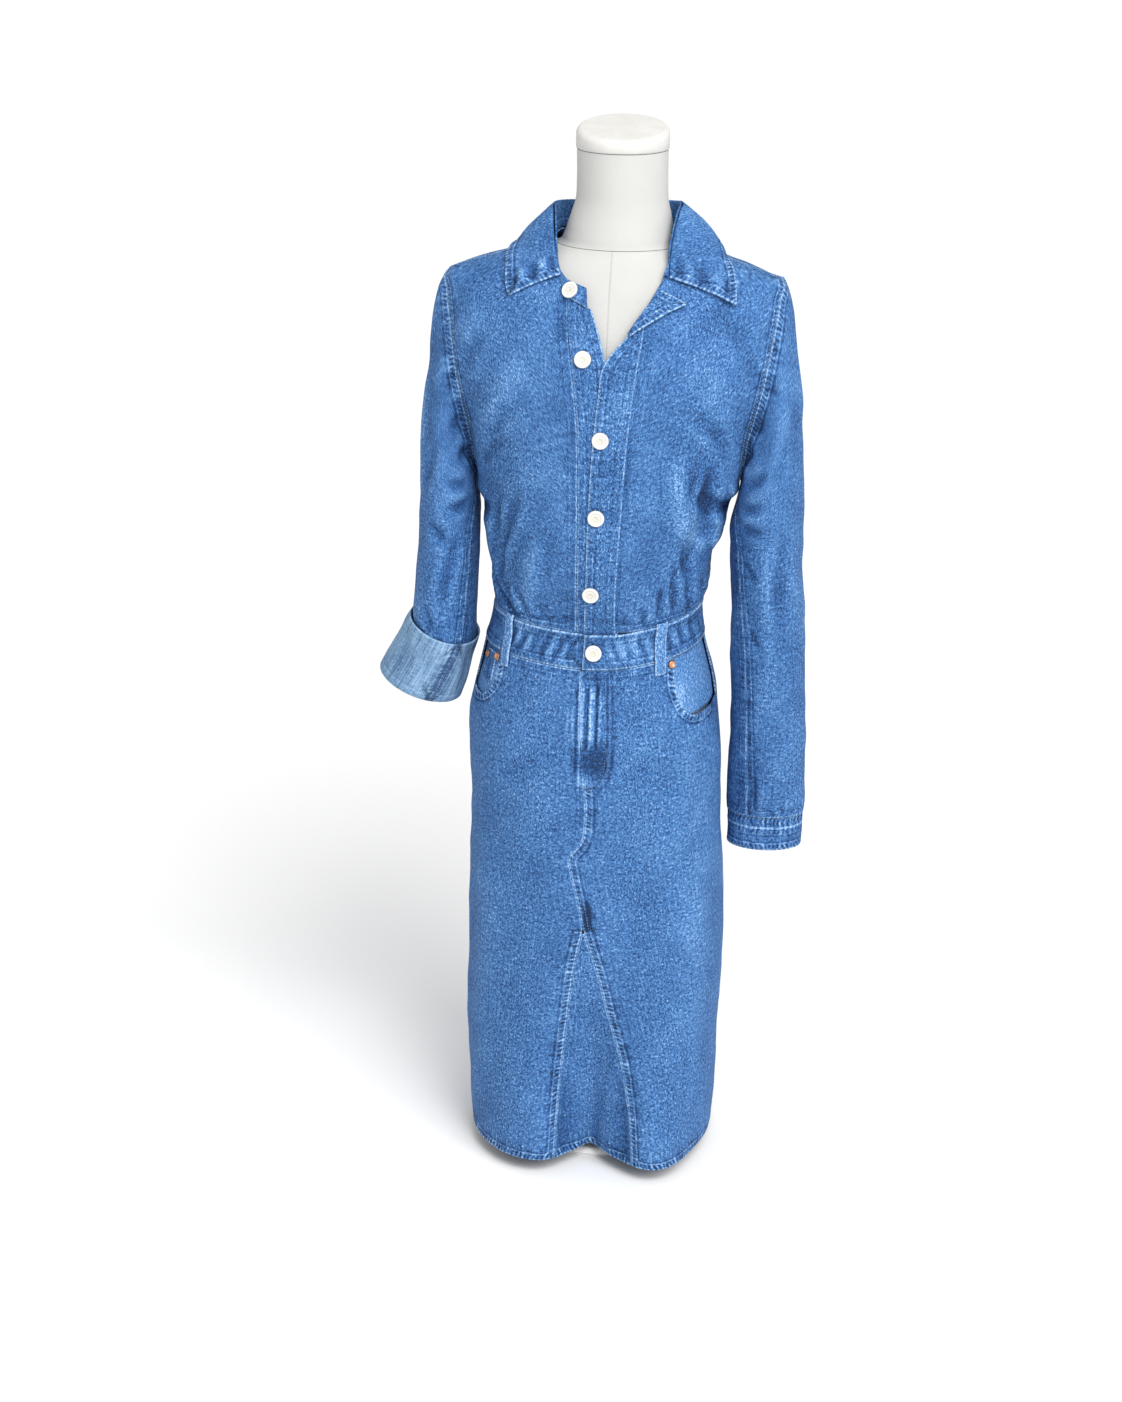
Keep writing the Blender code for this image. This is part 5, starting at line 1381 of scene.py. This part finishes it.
def bodice_back(shop):
    left, right = outer_edge(1, 1), outer_edge(-1, 1)
    columns = steps_for(BACK_WIDTH)
    neck = neckline(SHOULDER_STATIONS[1], SHOULDER_STATIONS[-1], columns)
    neck[0], neck[-1] = left[-1], right[-1]
    bottom = body_point(spread(SIDE_GAP, math.pi - SIDE_GAP, columns), WAIST_HIGH + SEAM)
    bottom[0], bottom[-1] = left[0], right[0]
    seams = [(left, 0.7), (right, 0.7), (bottom, 0.55), (neck, 0.3)]
    shop.sew(Cloth("bodice_back", settle(patch(left, right, bottom, neck)), seams, shop.body_creases))


def strip_grid(low_line, high_line, z, lift):
    """A strip on the front between two lines; z gives a height for each row and column."""
    left, right = across_line(low_line, z), across_line(high_line, z)
    return front_point(left + (right - left) * spread(0, 1, z.shape[1])[None], z, lift)


def plackets(shop):
    columns = 14
    low = WAIST_HIGH + SEAM
    top = neckline(10.05, 11.0, columns)[None, :, 2] - SEAM
    up = spread(0, 1, steps_for(0.370))[:, None]
    under = strip_grid(UNDER_SEAM + np.array([0, SEAM]), UNDER_EDGE, low * (1 - up) + top * up, 0.0)
    heights = spread(low, OVER_TOP, steps_for(0.340))[:, None] + np.zeros((1, columns))
    over = strip_grid(OVER_EDGE, OVER_SEAM, heights, CLOTH + LIE)
    for name, grid, first, last in (("placket_under", under, 0.40, 0.60), ("placket_over", over, 0.62, 0.45)):
        seams = [(grid[:, 0], first), (grid[:, -1], last)]
        shop.sew(Cloth(name, grid, seams, shop.body_creases, ripple=0.6))


def turned_corner(shop):
    """The top corner of the over placket, folded out along the roll line."""
    t = spread(0, 1, 20)[:, None]
    u = spread(0, 1, 12)[None]
    fold_x, fold_z = 0.023 + 0.035 * t, 0.9705 + 0.0555 * t
    width = 0.004 + 0.029 * t
    x, z = fold_x + width * 0.80 * u, fold_z - width * 0.55 * u
    base = settle(np.stack([x, -0.09 + 0 * x, z], axis=-1))
    grid = raised(base, 0.0037 + 0.004 * u)
    seams = [(grid[:, -1], 0.9), (grid[-1], 0.7)]
    shop.sew(Cloth("placket_turned_corner", grid, seams, ripple=0.5, tone=0.05))


def collar_curves(last, count):
    """The neckline, the roll line and the leaf's outer edge, up to a station of the collar table."""
    columns = stations(COLLAR, spread(0, last, count))
    neck = settle(top_point(columns[0], columns[1]), COLLAR_LIFT)
    return neck, np.stack(columns[2:5], axis=-1), np.stack(columns[5:8], axis=-1)


def collar(shop):
    neck, roll, _ = collar_curves(STAND_STATIONS, 140)
    v = spread(0, 1, 10)[:, None, None]
    sheet = neck[None] * (1 - v) + roll[None] * v
    grid = clear_of_body(sheet, COLLAR_LIFT + CLOTH * smooth_step(0.0, 0.2, v[..., 0]))
    shop.sew(Cloth("collar_stand", grid, [(grid[0], 0.5)], ripple=0.4))

    _, roll, edge = collar_curves(LEAF_STATIONS, 150)
    outward = roll - np.array([NECK_SHIFT, 0.0, 0.0])
    outward[:, 2] = 0.0
    outward = unit(outward)
    top = roll + outward * (DOUBLE + LIE) + np.array([0, 0, 0.001])
    v = spread(0, 1, 20)[:, None, None]
    sheet = edge[None] * (1 - v) + top[None] * v
    sheet += (outward[None] * 0.5 + np.array([0, 0, 0.5])) * LEAF_CROWN * v * (1 - v)
    grid = clear_of_body(sheet, DOUBLE + 0.0030)
    seams = [(grid[0], 1.0), (grid[:, 0], 0.9), (grid[:, -1], 0.9)]
    shop.sew(Cloth("collar_leaf", grid, seams, leaf_creases(grid), ripple=0.8))


def leaf_creases(grid):
    """Short waves along both front ends of the leaf, and soft dents along its fold."""
    rows, columns = grid.shape[:2]
    found = []
    for share, depth in LEAF_WAVES:
        r = round(share * (rows - 1))
        for start, step in ((0, 1), (columns - 1, -1)):
            found.append((grid[r, [start + step * k for k in (0, 3, 7, 12)]], 0.0048, depth))
    for share in LEAF_DENTS:
        c = round(share * (columns - 1))
        found.append((grid[2:rows - 2:3, c], 0.0080, 0.0016))
    return found


# ---- sleeves --------------------------------------------------------------------------------------------
def ring(section, turn):
    """Points round a sleeve section; turn 0 is away from the body for either side."""
    x, y, z, half, depth, tilt = section
    across, tip = half * np.cos(turn) * math.copysign(1, x), math.radians(tilt)
    ahead = depth * np.sin(turn)
    return np.stack([x + across * math.cos(tip), y + ahead, z - across * math.sin(tip)], axis=-1)


def tube(sections, rows, turn):
    """Rings through a table of sections at even steps, top to bottom."""
    columns = stations(sections, spread(0, len(sections) - 1, rows))
    return np.stack([ring(section, turn) for section in zip(*columns)])


def full_turn(columns):
    return (spread(0, 1, columns + 1)[:-1] - 0.5) * 2 * math.pi


def closed_line(line):
    return np.concatenate([line, line[:1]])


def wrapped(grid, side):
    """Rows turned upwards, and columns counter-clockwise from above."""
    grid = grid[::-1]
    return grid if side > 0 else grid[:, ::-1]


def grid_line(grid, side, places):
    """The line on a sleeve's grid through places (turn in degrees, share of the rows)."""
    rows, columns = grid.shape[:2]
    curve = smooth_corners(places)
    row = np.clip(curve[:, 1] * (rows - 1), 0, rows - 1.001)
    turn = (curve[:, 0] / 360.0 + 0.5) * columns
    column = turn if side > 0 else columns - 1 - turn
    r, c = np.floor(row).astype(int), np.floor(column).astype(int)
    dr, dc = (row - r)[:, None], (column - c)[:, None]
    low = grid[r, c % columns] * (1 - dc) + grid[r, (c + 1) % columns] * dc
    high = grid[r + 1, c % columns] * (1 - dc) + grid[r + 1, (c + 1) % columns] * dc
    return low * (1 - dr) + high * dr


def grid_creases(grid, side, creases):
    return [(grid_line(grid, side, places), width, depth) for places, width, depth in creases]


def sleeve_cap(side, sections, turn, rows):
    """The sleeve's head, from the armhole to the first section, leaving outwards and downwards."""
    start, end = armhole(side, turn, inset=0.0004), ring(sections[0], turn)
    start[:, 0] += side * 0.0001
    reach = np.linalg.norm(end - start, axis=1)[:, None]
    leave = np.array([side * SLEEVE_OUTWARD[0], 0.0, SLEEVE_OUTWARD[1]]) * reach * 0.45
    arrive = ring(sections[1], turn) - end
    arrive *= reach / np.linalg.norm(arrive, axis=1)[:, None]
    t = spread(0, 1, rows)[:-1, None, None]
    return ((2 * t**3 - 3 * t**2 + 1) * start + (t**3 - 2 * t**2 + t) * leave
            + (3 * t**2 - 2 * t**3) * end + (t**3 - t**2) * arrive)


def sleeve(shop, name, side, sections, rows, creases):
    turn = full_turn(92)
    cap = sleeve_cap(side, sections, turn, 86)
    grid = wrapped(np.concatenate([cap, tube(sections, rows, turn)]), side)
    seam = even_points(grid_line(grid, side, SLEEVE_SEAMS[name]), 0.003)
    seams = [(closed_line(grid[-1]), 0.9), (seam, 0.62), (grid[0], 0.5)]
    cloth = Cloth(name, grid, seams, grid_creases(grid, side, creases), closed=True)
    cloth.mark(seam_spots(seam))
    shop.sew(cloth, [cloth.snapped(seam + seam_offsets(seam, cloth)[0])])


def seam_spots(seam):
    """Uneven dark spots beside a seam, in the lower part of a sleeve."""
    found = []
    for share, length, amount in SEAM_SPOTS:
        k = int(share * (len(seam) - 1))
        found.append((seam[k:k + length] + np.array([0.004, 0.0, 0.0]), 0.0034, amount))
    return found


def seam_offsets(seam, cloth):
    """Shifts to two rows of stitches beside a seam line."""
    _, out = cloth.snapped(seam)
    length = line_lengths(seam)
    share = spread(0, 1, len(out))
    normals = np.stack([np.interp(length / length[-1], share, out[:, k]) for k in range(3)], axis=-1)
    beside = unit(np.cross(np.gradient(seam, axis=0), normals))
    return [beside * away for away in SLEEVE_ROWS]


def sleeves(shop):
    sleeve(shop, "sleeve_right", -1, RIGHT_SLEEVE, 58, RIGHT_SLEEVE_CREASES)
    sleeve(shop, "sleeve_left", 1, LEFT_SLEEVE, 94, LEFT_SLEEVE_CREASES)

    grid = wrapped(tube(TURN_UP, 22, full_turn(96)), -1)
    seam = even_points(grid_line(grid, -1, SLEEVE_SEAMS["sleeve_turn_up"]), 0.003)
    seams = [(closed_line(grid[-1]), 0.35), (grid[0], 0.35), (seam, 1.0)]
    creases = grid_creases(grid, -1, TURN_UP_CREASES)
    cloth = Cloth("sleeve_turn_up", grid, seams, creases, closed=True, ripple=1.2)
    cloth.mark([(seam, 0.0052, -0.62)])
    rows = [cloth.snapped(seam + shift) for shift in seam_offsets(seam, cloth)]
    shop.sew(cloth, rows, slot="denim_wrong_side")

    grid = wrapped(tube(CUFF, 13, full_turn(72)), 1)
    seams = [(closed_line(grid[-1]), 1.0), (grid[0], 0.9), (closed_line(grid[8]), 0.8)]
    shop.sew(Cloth("cuff_left", grid, seams, closed=True, ripple=0.7))


# ---- waistband and skirt --------------------------------------------------------------------------------
def waistband(shop):
    """One band whose left end laps over its right end in front."""
    low, high = WAIST_LOW + SEAM, WAIST_HIGH - SEAM
    start, inner_end = (float(front_angle(np.array(x), np.array((low + high) / 2))) for x in BAND_LAP)
    lap, round_body = spread(start, inner_end, 12), spread(inner_end, inner_end + 2 * math.pi, 210)
    angle = np.concatenate([lap, round_body[1:]])
    drop = smooth_step(inner_end, inner_end + math.radians(14), angle)
    lift = BAND_LIFT + (DOUBLE + LIE) * (1 - drop)
    grid = body_point(angle[None], spread(low, high, 13)[:, None], lift[None])
    seams = [(grid[0], 0.75), (grid[-1], 0.75), (grid[:, 0], 0.62)]
    # the waistband's puckers get strong painted shade and highlight
    shop.sew(Cloth("waistband", grid, seams, band_creases(), ripple=0.5, shade=3.4))


def belt_loops(shop):
    z, lift = stations(LOOP_PROFILE, spread(0, len(LOOP_PROFILE) - 1, 24))
    side_on = spread(-1.0, 1.0, 7)[None]
    bulge = LOOP_BULGE * (1 - side_on ** 2)
    for place, degrees in LOOPS.items():
        angle = math.radians(degrees)
        reach = np.linalg.norm(body_point(angle, z)[:, :2], axis=1)
        span = LOOP_HALF_WIDTH / reach[:, None] * side_on
        grid = body_point(angle + span, z[:, None], lift[:, None] + bulge)
        seams = [(grid[:, 0], 0.45), (grid[:, -1], 0.45), (grid[0], 0.45)]
        shop.sew(Cloth(f"belt_loop_{place}", grid, seams, ripple=0.3, tone=0.20))


def skirt_front(shop, name, side, gusset_line):
    """A skirt front: its inner edge follows the gusset, then the centre seam."""
    z = spread(HEM, WAIST_LOW - SEAM, steps_for(SKIRT_LENGTH))
    inner_x = np.where(z <= GUSSET_TOP, across_line(gusset_line, z), across_line(CENTRE_SEAM, z))
    u = np.concatenate([spread(0, 0.20, 30), spread(0.20, 1, 42)[1:]])[None]
    angle = front_angle(inner_x + side * SEAM / 2, z)[:, None] * (1 - u) + side_angle(side) * u
    grid = body_point(angle, z[:, None])
    split, fly = int(np.sum(z <= GUSSET_TOP)), int(np.sum(z <= FLY_LOW))
    seams = [(grid[:split, 0], 0.95), (grid[split:fly, 0], 0.85 if side > 0 else 0.35), (grid[fly:, 0], 0.30),
             (grid[:, -1], 0.45), (grid[0], 1.0), (grid[-1], 0.6), (mouth_line(side), 1.0)]
    cloth = Cloth(name, grid if side > 0 else grid[:, ::-1], seams, shop.body_creases, shade=SKIRT_SHADE)
    inside, outside = ("left", "right") if side > 0 else ("right", "left")
    share = split / len(z)
    rows = double(cloth, inside, 0.0, share)
    rows += double(cloth, inside, share, fly / len(z)) if side > 0 else []
    rows += [cloth.inset("bottom", HEM_ROW), cloth.inset(outside, 0.0016)]
    rows += [cloth.snapped(mouth_line(side, away)) for away in MOUTH_ROWS]
    rows += fly_rows(cloth) if side > 0 else []
    shop.sew(cloth, rows, mouth=side)


def fly_rows(cloth):
    """The fly's double row of stitches, which curves back to the front edge."""
    x, z, left, up = FLY_CURVE.T
    found = []
    for away in FLY_ROWS:
        curve = smooth_corners(np.stack([x - away * left, z + away * up], axis=-1))
        found.append(cloth.snapped(front_point(curve[:, 0], curve[:, 1])))
    return found


def mouth_outline(side, away=0.0):
    """The pocket mouth's outline as x and height, from the waistband to the side seam, moved outwards."""
    corner, low = POCKETS[side]
    swing = spread(0, math.pi / 2, 15)
    reach, drop = POCKET_REACH + away, POCKET_START - low + away
    x = corner + side * (POCKET_REACH - reach * np.cos(swing))
    z = POCKET_START - drop * np.sin(swing)
    above = np.array([[x[0], WAIST_LOW + 0.040]])
    end = np.array([[side * POCKET_FAR, low + POCKET_RISE - away]])
    return np.concatenate([above, np.stack([x, z], axis=-1), end])


def mouth_line(side, away=0.0):
    """The pocket mouth's rim on the body."""
    outline = even_points(mouth_outline(side, away), 0.002)
    x, z = outline[:, 0], outline[:, 1]
    half, _, _, shift, _ = section(z)
    on_front = np.abs(x - shift) < half * 0.985
    return front_place(x, z)[on_front]


def cut_mouth(mesh, side):
    """Cuts the pocket's mouth out of a skirt front along its outline."""
    cut = bmesh.new()
    cut.from_mesh(mesh)
    outline = mouth_outline(side)
    for a, b in zip(outline, outline[1:]):
        near = faces_near(cut, (a + b) / 2, np.linalg.norm(b - a) / 2 + 0.005)
        geometry = near | {e for f in near for e in f.edges} | {v for f in near for v in f.verts}
        across = (a[1] - b[1], 0, b[0] - a[0])
        bmesh.ops.bisect_plane(cut, geom=list(geometry), plane_co=(a[0], 0, a[1]), plane_no=across)
    inside = [f for f in cut.faces if in_mouth(side, f.calc_center_median())]
    bmesh.ops.delete(cut, geom=inside, context="FACES")
    cut.to_mesh(mesh)
    cut.free()


def faces_near(cut, middle, reach):
    """Faces of the front within reach of a place, given as x and height."""
    found = set()
    for face in cut.faces:
        x, y, z = face.calc_center_median()
        if abs(x - middle[0]) < reach and abs(z - middle[1]) < reach and y < FRONT_LIMIT:
            found.add(face)
    return found


def in_mouth(side, point):
    corner, low = POCKETS[side]
    across = side * (point.x - corner)
    if across < 0 or point.y > FRONT_LIMIT:
        return False
    if across < POCKET_REACH:
        swing = math.acos(1 - across / POCKET_REACH)
        return point.z > POCKET_START - (POCKET_START - low) * math.sin(swing)
    rise = POCKET_RISE * (across - POCKET_REACH) / (POCKET_FAR - side * corner - POCKET_REACH)
    return point.z > low + rise


def skirt_back(shop, name, side):
    """A skirt back; the left one's edge at the centre is the roped, double-stitched one."""
    starts = SIDE_GAP if side > 0 else math.pi / 2 + SIDE_GAP
    z = spread(HEM, WAIST_LOW - SEAM, steps_for(SKIRT_LENGTH))
    angle = spread(starts, starts + math.pi / 2 - 2 * SIDE_GAP, 56)
    grid = body_point(angle[None], z[:, None])
    first, last = (0.8, 1.0) if side > 0 else (0.35, 0.8)
    seams = [(grid[:, -1], last), (grid[:, 0], first), (grid[0], 1.0), (grid[-1], 0.6)]
    cloth = Cloth(name, grid, seams, shop.body_creases, shade=SKIRT_SHADE)
    rows = [cloth.inset("bottom", HEM_ROW), *double(cloth, "right")]
    rows += double(cloth, "left") if side > 0 else []
    shop.sew(cloth, rows)


def gusset(shop):
    z = spread(HEM, GUSSET_TOP - 0.004, 80)[:, None]
    left = across_line(GUSSET_RIGHT, z) + SEAM / 2
    right = across_line(GUSSET_LEFT, z) - SEAM / 2
    grid = front_point(left + (right - left) * spread(0, 1, 24)[None], z)
    seams = [(grid[:, 0], 0.3), (grid[:, -1], 0.3), (grid[0], 1.0)]
    shop.sew(Cloth("skirt_gusset", grid, seams, shop.body_creases, shade=SKIRT_SHADE))


def skirt(shop):
    skirt_front(shop, "skirt_front_right", -1, GUSSET_RIGHT)
    skirt_front(shop, "skirt_front_left", 1, GUSSET_LEFT)
    gusset(shop)
    skirt_back(shop, "skirt_back_left", 1)
    skirt_back(shop, "skirt_back_right", -1)


def pockets(shop):
    for name, side in (("pocket_facing_right", -1), ("pocket_facing_left", 1)):
        corner, low = POCKETS[side]
        z = spread(low - 0.010, WAIST_LOW - SEAM, 20)
        inner = front_angle(np.full(len(z), corner - side * 0.010), z)
        u = spread(0, 1, 20)[None]
        angle = inner[:, None] * (1 - u) + side_angle(side) * u
        grid = body_point(angle, z[:, None], -(CLOTH + 0.0015))
        cloth = Cloth(name, grid if side > 0 else grid[:, ::-1], [], ripple=0.7, tone=0.16)
        shop.sew(cloth, slot="pocket_denim")
    angle = np.radians(spread(-160.0, -149.0, 8))
    grid = body_point(angle[None], spread(0.566, 0.5965, 10)[:, None], -0.0013)
    seams = [(grid[-1], 0.9), (grid[:, 0], 0.6), (grid[:, -1], 0.6)]
    shop.sew(Cloth("coin_pocket", grid, seams, ripple=0.3))


# ---- trims ----------------------------------------------------------------------------------------------
def ring_faces(rings, count):
    """Quads between closed rings of points, outwards where the rings run upwards."""
    faces = []
    for r in range(rings - 1):
        for k in range(count):
            d = (k + 1) % count
            faces.append((r * count + k, r * count + d, (r + 1) * count + d, (r + 1) * count + k))
    return faces


def turned(name, profile, steps, finish, radial=False):
    """A round solid about Z from its profile (radius, height), top to bottom down the outer side."""
    turn = spread(0, 2 * math.pi, steps + 1)
    verts = [(r * math.cos(a), r * math.sin(a), z) for r, z in profile for a in turn[:-1]]
    mesh = bpy.data.meshes.new(name)
    mesh.from_pydata(verts, [], [(a, d, c, b) for a, b, c, d in ring_faces(len(profile), steps)])
    if radial:
        widest = max(r for r, _ in profile)
        set_attribute(mesh, "radial", np.repeat([r / widest for r, _ in profile], steps))
    clean = bmesh.new()
    clean.from_mesh(mesh)
    bmesh.ops.remove_doubles(clean, verts=clean.verts, dist=1e-6)
    clean.to_mesh(mesh)
    clean.free()
    mesh.shade_smooth()
    return add_object(name, mesh, finish)


def pin_on(shop, node, kind, point, outward):
    """Sets a button or a rivet on the cloth, facing outwards."""
    suffix, radius, shape, steps, slot = TRIMS[kind]
    profile = [(radius * share, height) for share, height in shape]
    piece = turned(node + suffix, profile, steps, shop.finishes[slot], radial=True)
    piece.location = point
    piece.rotation_euler = Vector(outward).to_track_quat("Z", "X").to_euler()
    shop.place(piece, node, slot)


def buttons(shop):
    for k, (x, z, lift) in enumerate(BUTTONS):
        point = front_point(np.array(x), np.array(z))
        outward = unit(slope(point))
        if k == 0:
            point, outward = np.array(TOP_BUTTON), np.array(TOP_BUTTON_FACES)
        pin_on(shop, f"button_{k + 1}", "button", point + outward * lift, outward)
    x, y, _, half, depth, _ = CUFF[0]
    c, s = math.cos(CUFF_BUTTON_TURN), math.sin(CUFF_BUTTON_TURN)
    outward = Vector((c / half, s / depth, 0)).normalized()
    pin_on(shop, "button_cuff", "button", (x + half * c, y + depth * s, CUFF_BUTTON_HEIGHT), outward)


def rivets(shop):
    for name, (x, z, lift) in RIVETS.items():
        point = front_point(np.array(x), np.array(z))
        outward = unit(slope(point))
        pin_on(shop, name, "rivet", point + outward * (lift + LIE), outward)


# ---- dress form and stand -------------------------------------------------------------------------------
def form_ring(z, turn):
    half, front, back, shift, power = section(z, FORM)
    c, s = np.cos(turn), np.sin(turn)
    depth = np.where(s < 0, front, back)
    x = shift + half * np.sign(c) * np.abs(c) ** (2 / power)
    y = depth * np.sign(s) * np.abs(s) ** (2 / power)
    return np.stack([x, y, z + 0 * x], axis=-1)


def closed_solid(name, rings, finish):
    """A closed solid through rings of points, upwards, with flat ends."""
    count = rings.shape[1]
    faces = ring_faces(len(rings), count)
    faces.append(tuple(reversed(range(count))))
    faces.append(tuple(range((len(rings) - 1) * count, len(rings) * count)))
    mesh = bpy.data.meshes.new(name)
    mesh.from_pydata(rings.reshape(-1, 3).tolist(), [], faces)
    mesh.shade_smooth()
    mesh.set_sharp_from_angle(angle=math.radians(50))
    return add_object(name, mesh, finish)


def dress_form(shop):
    turn = full_turn(96)
    stretches = [(FORM_LOW, 0.462, 5), (0.48, 0.98, 36), (0.99, NECK_SEAM - FORM_SEAM, 26)]
    torso = np.concatenate([spread(*stretch) for stretch in stretches])
    neck = spread(NECK_SEAM, CAP_LOW - FORM_SEAM, 40)
    for name, node, heights, finish in (("torso_cover", "form_torso", torso, shop.form),
                                        ("neck_cover", "form_neck", neck, shop.neck)):
        cover = closed_solid(name, np.stack([form_ring(z, turn) for z in heights]), finish)
        shop.place(cover, node, "form_fabric")
    shop.place(closed_solid("neck_cap", neck_cap(), shop.finishes["cap_paint"]), "form_neck_cap", "cap_paint")

    high, low = FORM_LOW - FORM_SEAM, BASE_THICKNESS + FORM_SEAM
    pole = [(0, high), (POLE_RADIUS, high), (POLE_RADIUS, low), (0, low)]
    base = [(0, BASE_THICKNESS)]
    base += [(BASE_RADIUS - inset, BASE_THICKNESS - below) for inset, below in BASE_EDGE]
    base += [(BASE_RADIUS, 0.0), (0, 0.0)]
    for name, profile, steps in (("pole", pole, 48), ("base", base, 96)):
        shop.place(turned(name, profile, steps, shop.finishes["stand_paint"]), f"form_{name}", "stand_paint")


def neck_cap():
    """Rings of the cap: upright sides, then a rounded edge and a flat top that slopes to the front."""
    turn = full_turn(96)
    rings = [(0.0015, None, 0.0), (0.0, None, 0.0015)]
    for a in spread(0, math.pi / 2, 9):
        rings.append((CAP_ROUND * (1 - math.cos(a)), CAP_ROUND * (1 - math.sin(a)), 0.0))
    found = []
    for inset, below, up in rings:
        r = CAP_RADIUS - inset
        x, y = NECK_SHIFT + r * np.cos(turn), r * np.sin(turn)
        z = CAP_LOW + up + 0 * y if below is None else CAP_MIDDLE + CAP_SLANT * y - below
        found.append(np.stack([x, y, z], axis=-1))
    return np.stack(found)


# ---- studio ---------------------------------------------------------------------------------------------
def studio():
    bpy.ops.mesh.primitive_grid_add(x_subdivisions=24, y_subdivisions=24, size=FLOOR_SIZE)
    floor = bpy.context.object
    floor.name = "studio_floor"
    floor.data.materials.append(floor_material())
    world = bpy.data.worlds.new("studio")
    bpy.context.scene.world = world
    world.use_nodes = True
    background = world.node_tree.nodes["Background"]
    background.inputs["Color"].default_value = (1.0, 1.0, 1.0, 1.0)
    background.inputs["Strength"].default_value = WORLD_LIGHT
    lamp("sun", "SUN", (0.0, 0.0, 0.0), SUN_HEADING, SUN_ENERGY).angle = SUN_ANGLE
    aim = Vector(KEY_AIM) - Vector(KEY_PLACE)
    lamp("key", "AREA", KEY_PLACE, aim, KEY_POWER).size = KEY_SIZE
    bpy.context.scene.view_settings.view_transform = "Standard"


def lamp(name, kind, place, heading, energy):
    """A light at a place that shines in a direction."""
    light = bpy.data.lights.new(name, kind)
    light.energy = energy
    made = bpy.data.objects.new(name, light)
    bpy.context.scene.collection.objects.link(made)
    made.location = place
    made.rotation_euler = Vector(heading).to_track_quat("-Z", "Y").to_euler()
    return light


def camera():
    """The camera at the photo's viewing angle."""
    data = bpy.data.cameras.new("photo_camera")
    data.lens = CAMERA_LENS
    data.sensor_fit = "VERTICAL"
    data.sensor_height = CAMERA_SENSOR
    made = bpy.data.objects.new("photo_camera", data)
    bpy.context.scene.collection.objects.link(made)
    x, y = CAMERA_AWAY * math.sin(CAMERA_AZIMUTH), -CAMERA_AWAY * math.cos(CAMERA_AZIMUTH)
    made.location = (x, y, CAMERA_HEIGHT)
    heading = CAMERA_AZIMUTH + CAMERA_HEADING
    turned_by = Matrix.Rotation(heading, 3, "Z") @ Matrix.Rotation(math.pi / 2 - CAMERA_PITCH, 3, "X")
    made.rotation_euler = (turned_by @ Matrix.Rotation(CAMERA_ROLL, 3, "Z")).to_euler()
    bpy.context.scene.camera = made


def main():
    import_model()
    camera()
    studio()
    shop = Workshop()
    bodice_front(shop, "bodice_front_right", -1, UNDER_SEAM, 9.98)
    bodice_front(shop, "bodice_front_left", 1, LEFT_FRONT_EDGE, 0.0)
    bodice_back(shop)
    plackets(shop)
    turned_corner(shop)
    collar(shop)
    sleeves(shop)
    waistband(shop)
    belt_loops(shop)
    skirt(shop)
    pockets(shop)
    buttons(shop)
    rivets(shop)
    dress_form(shop)


main()
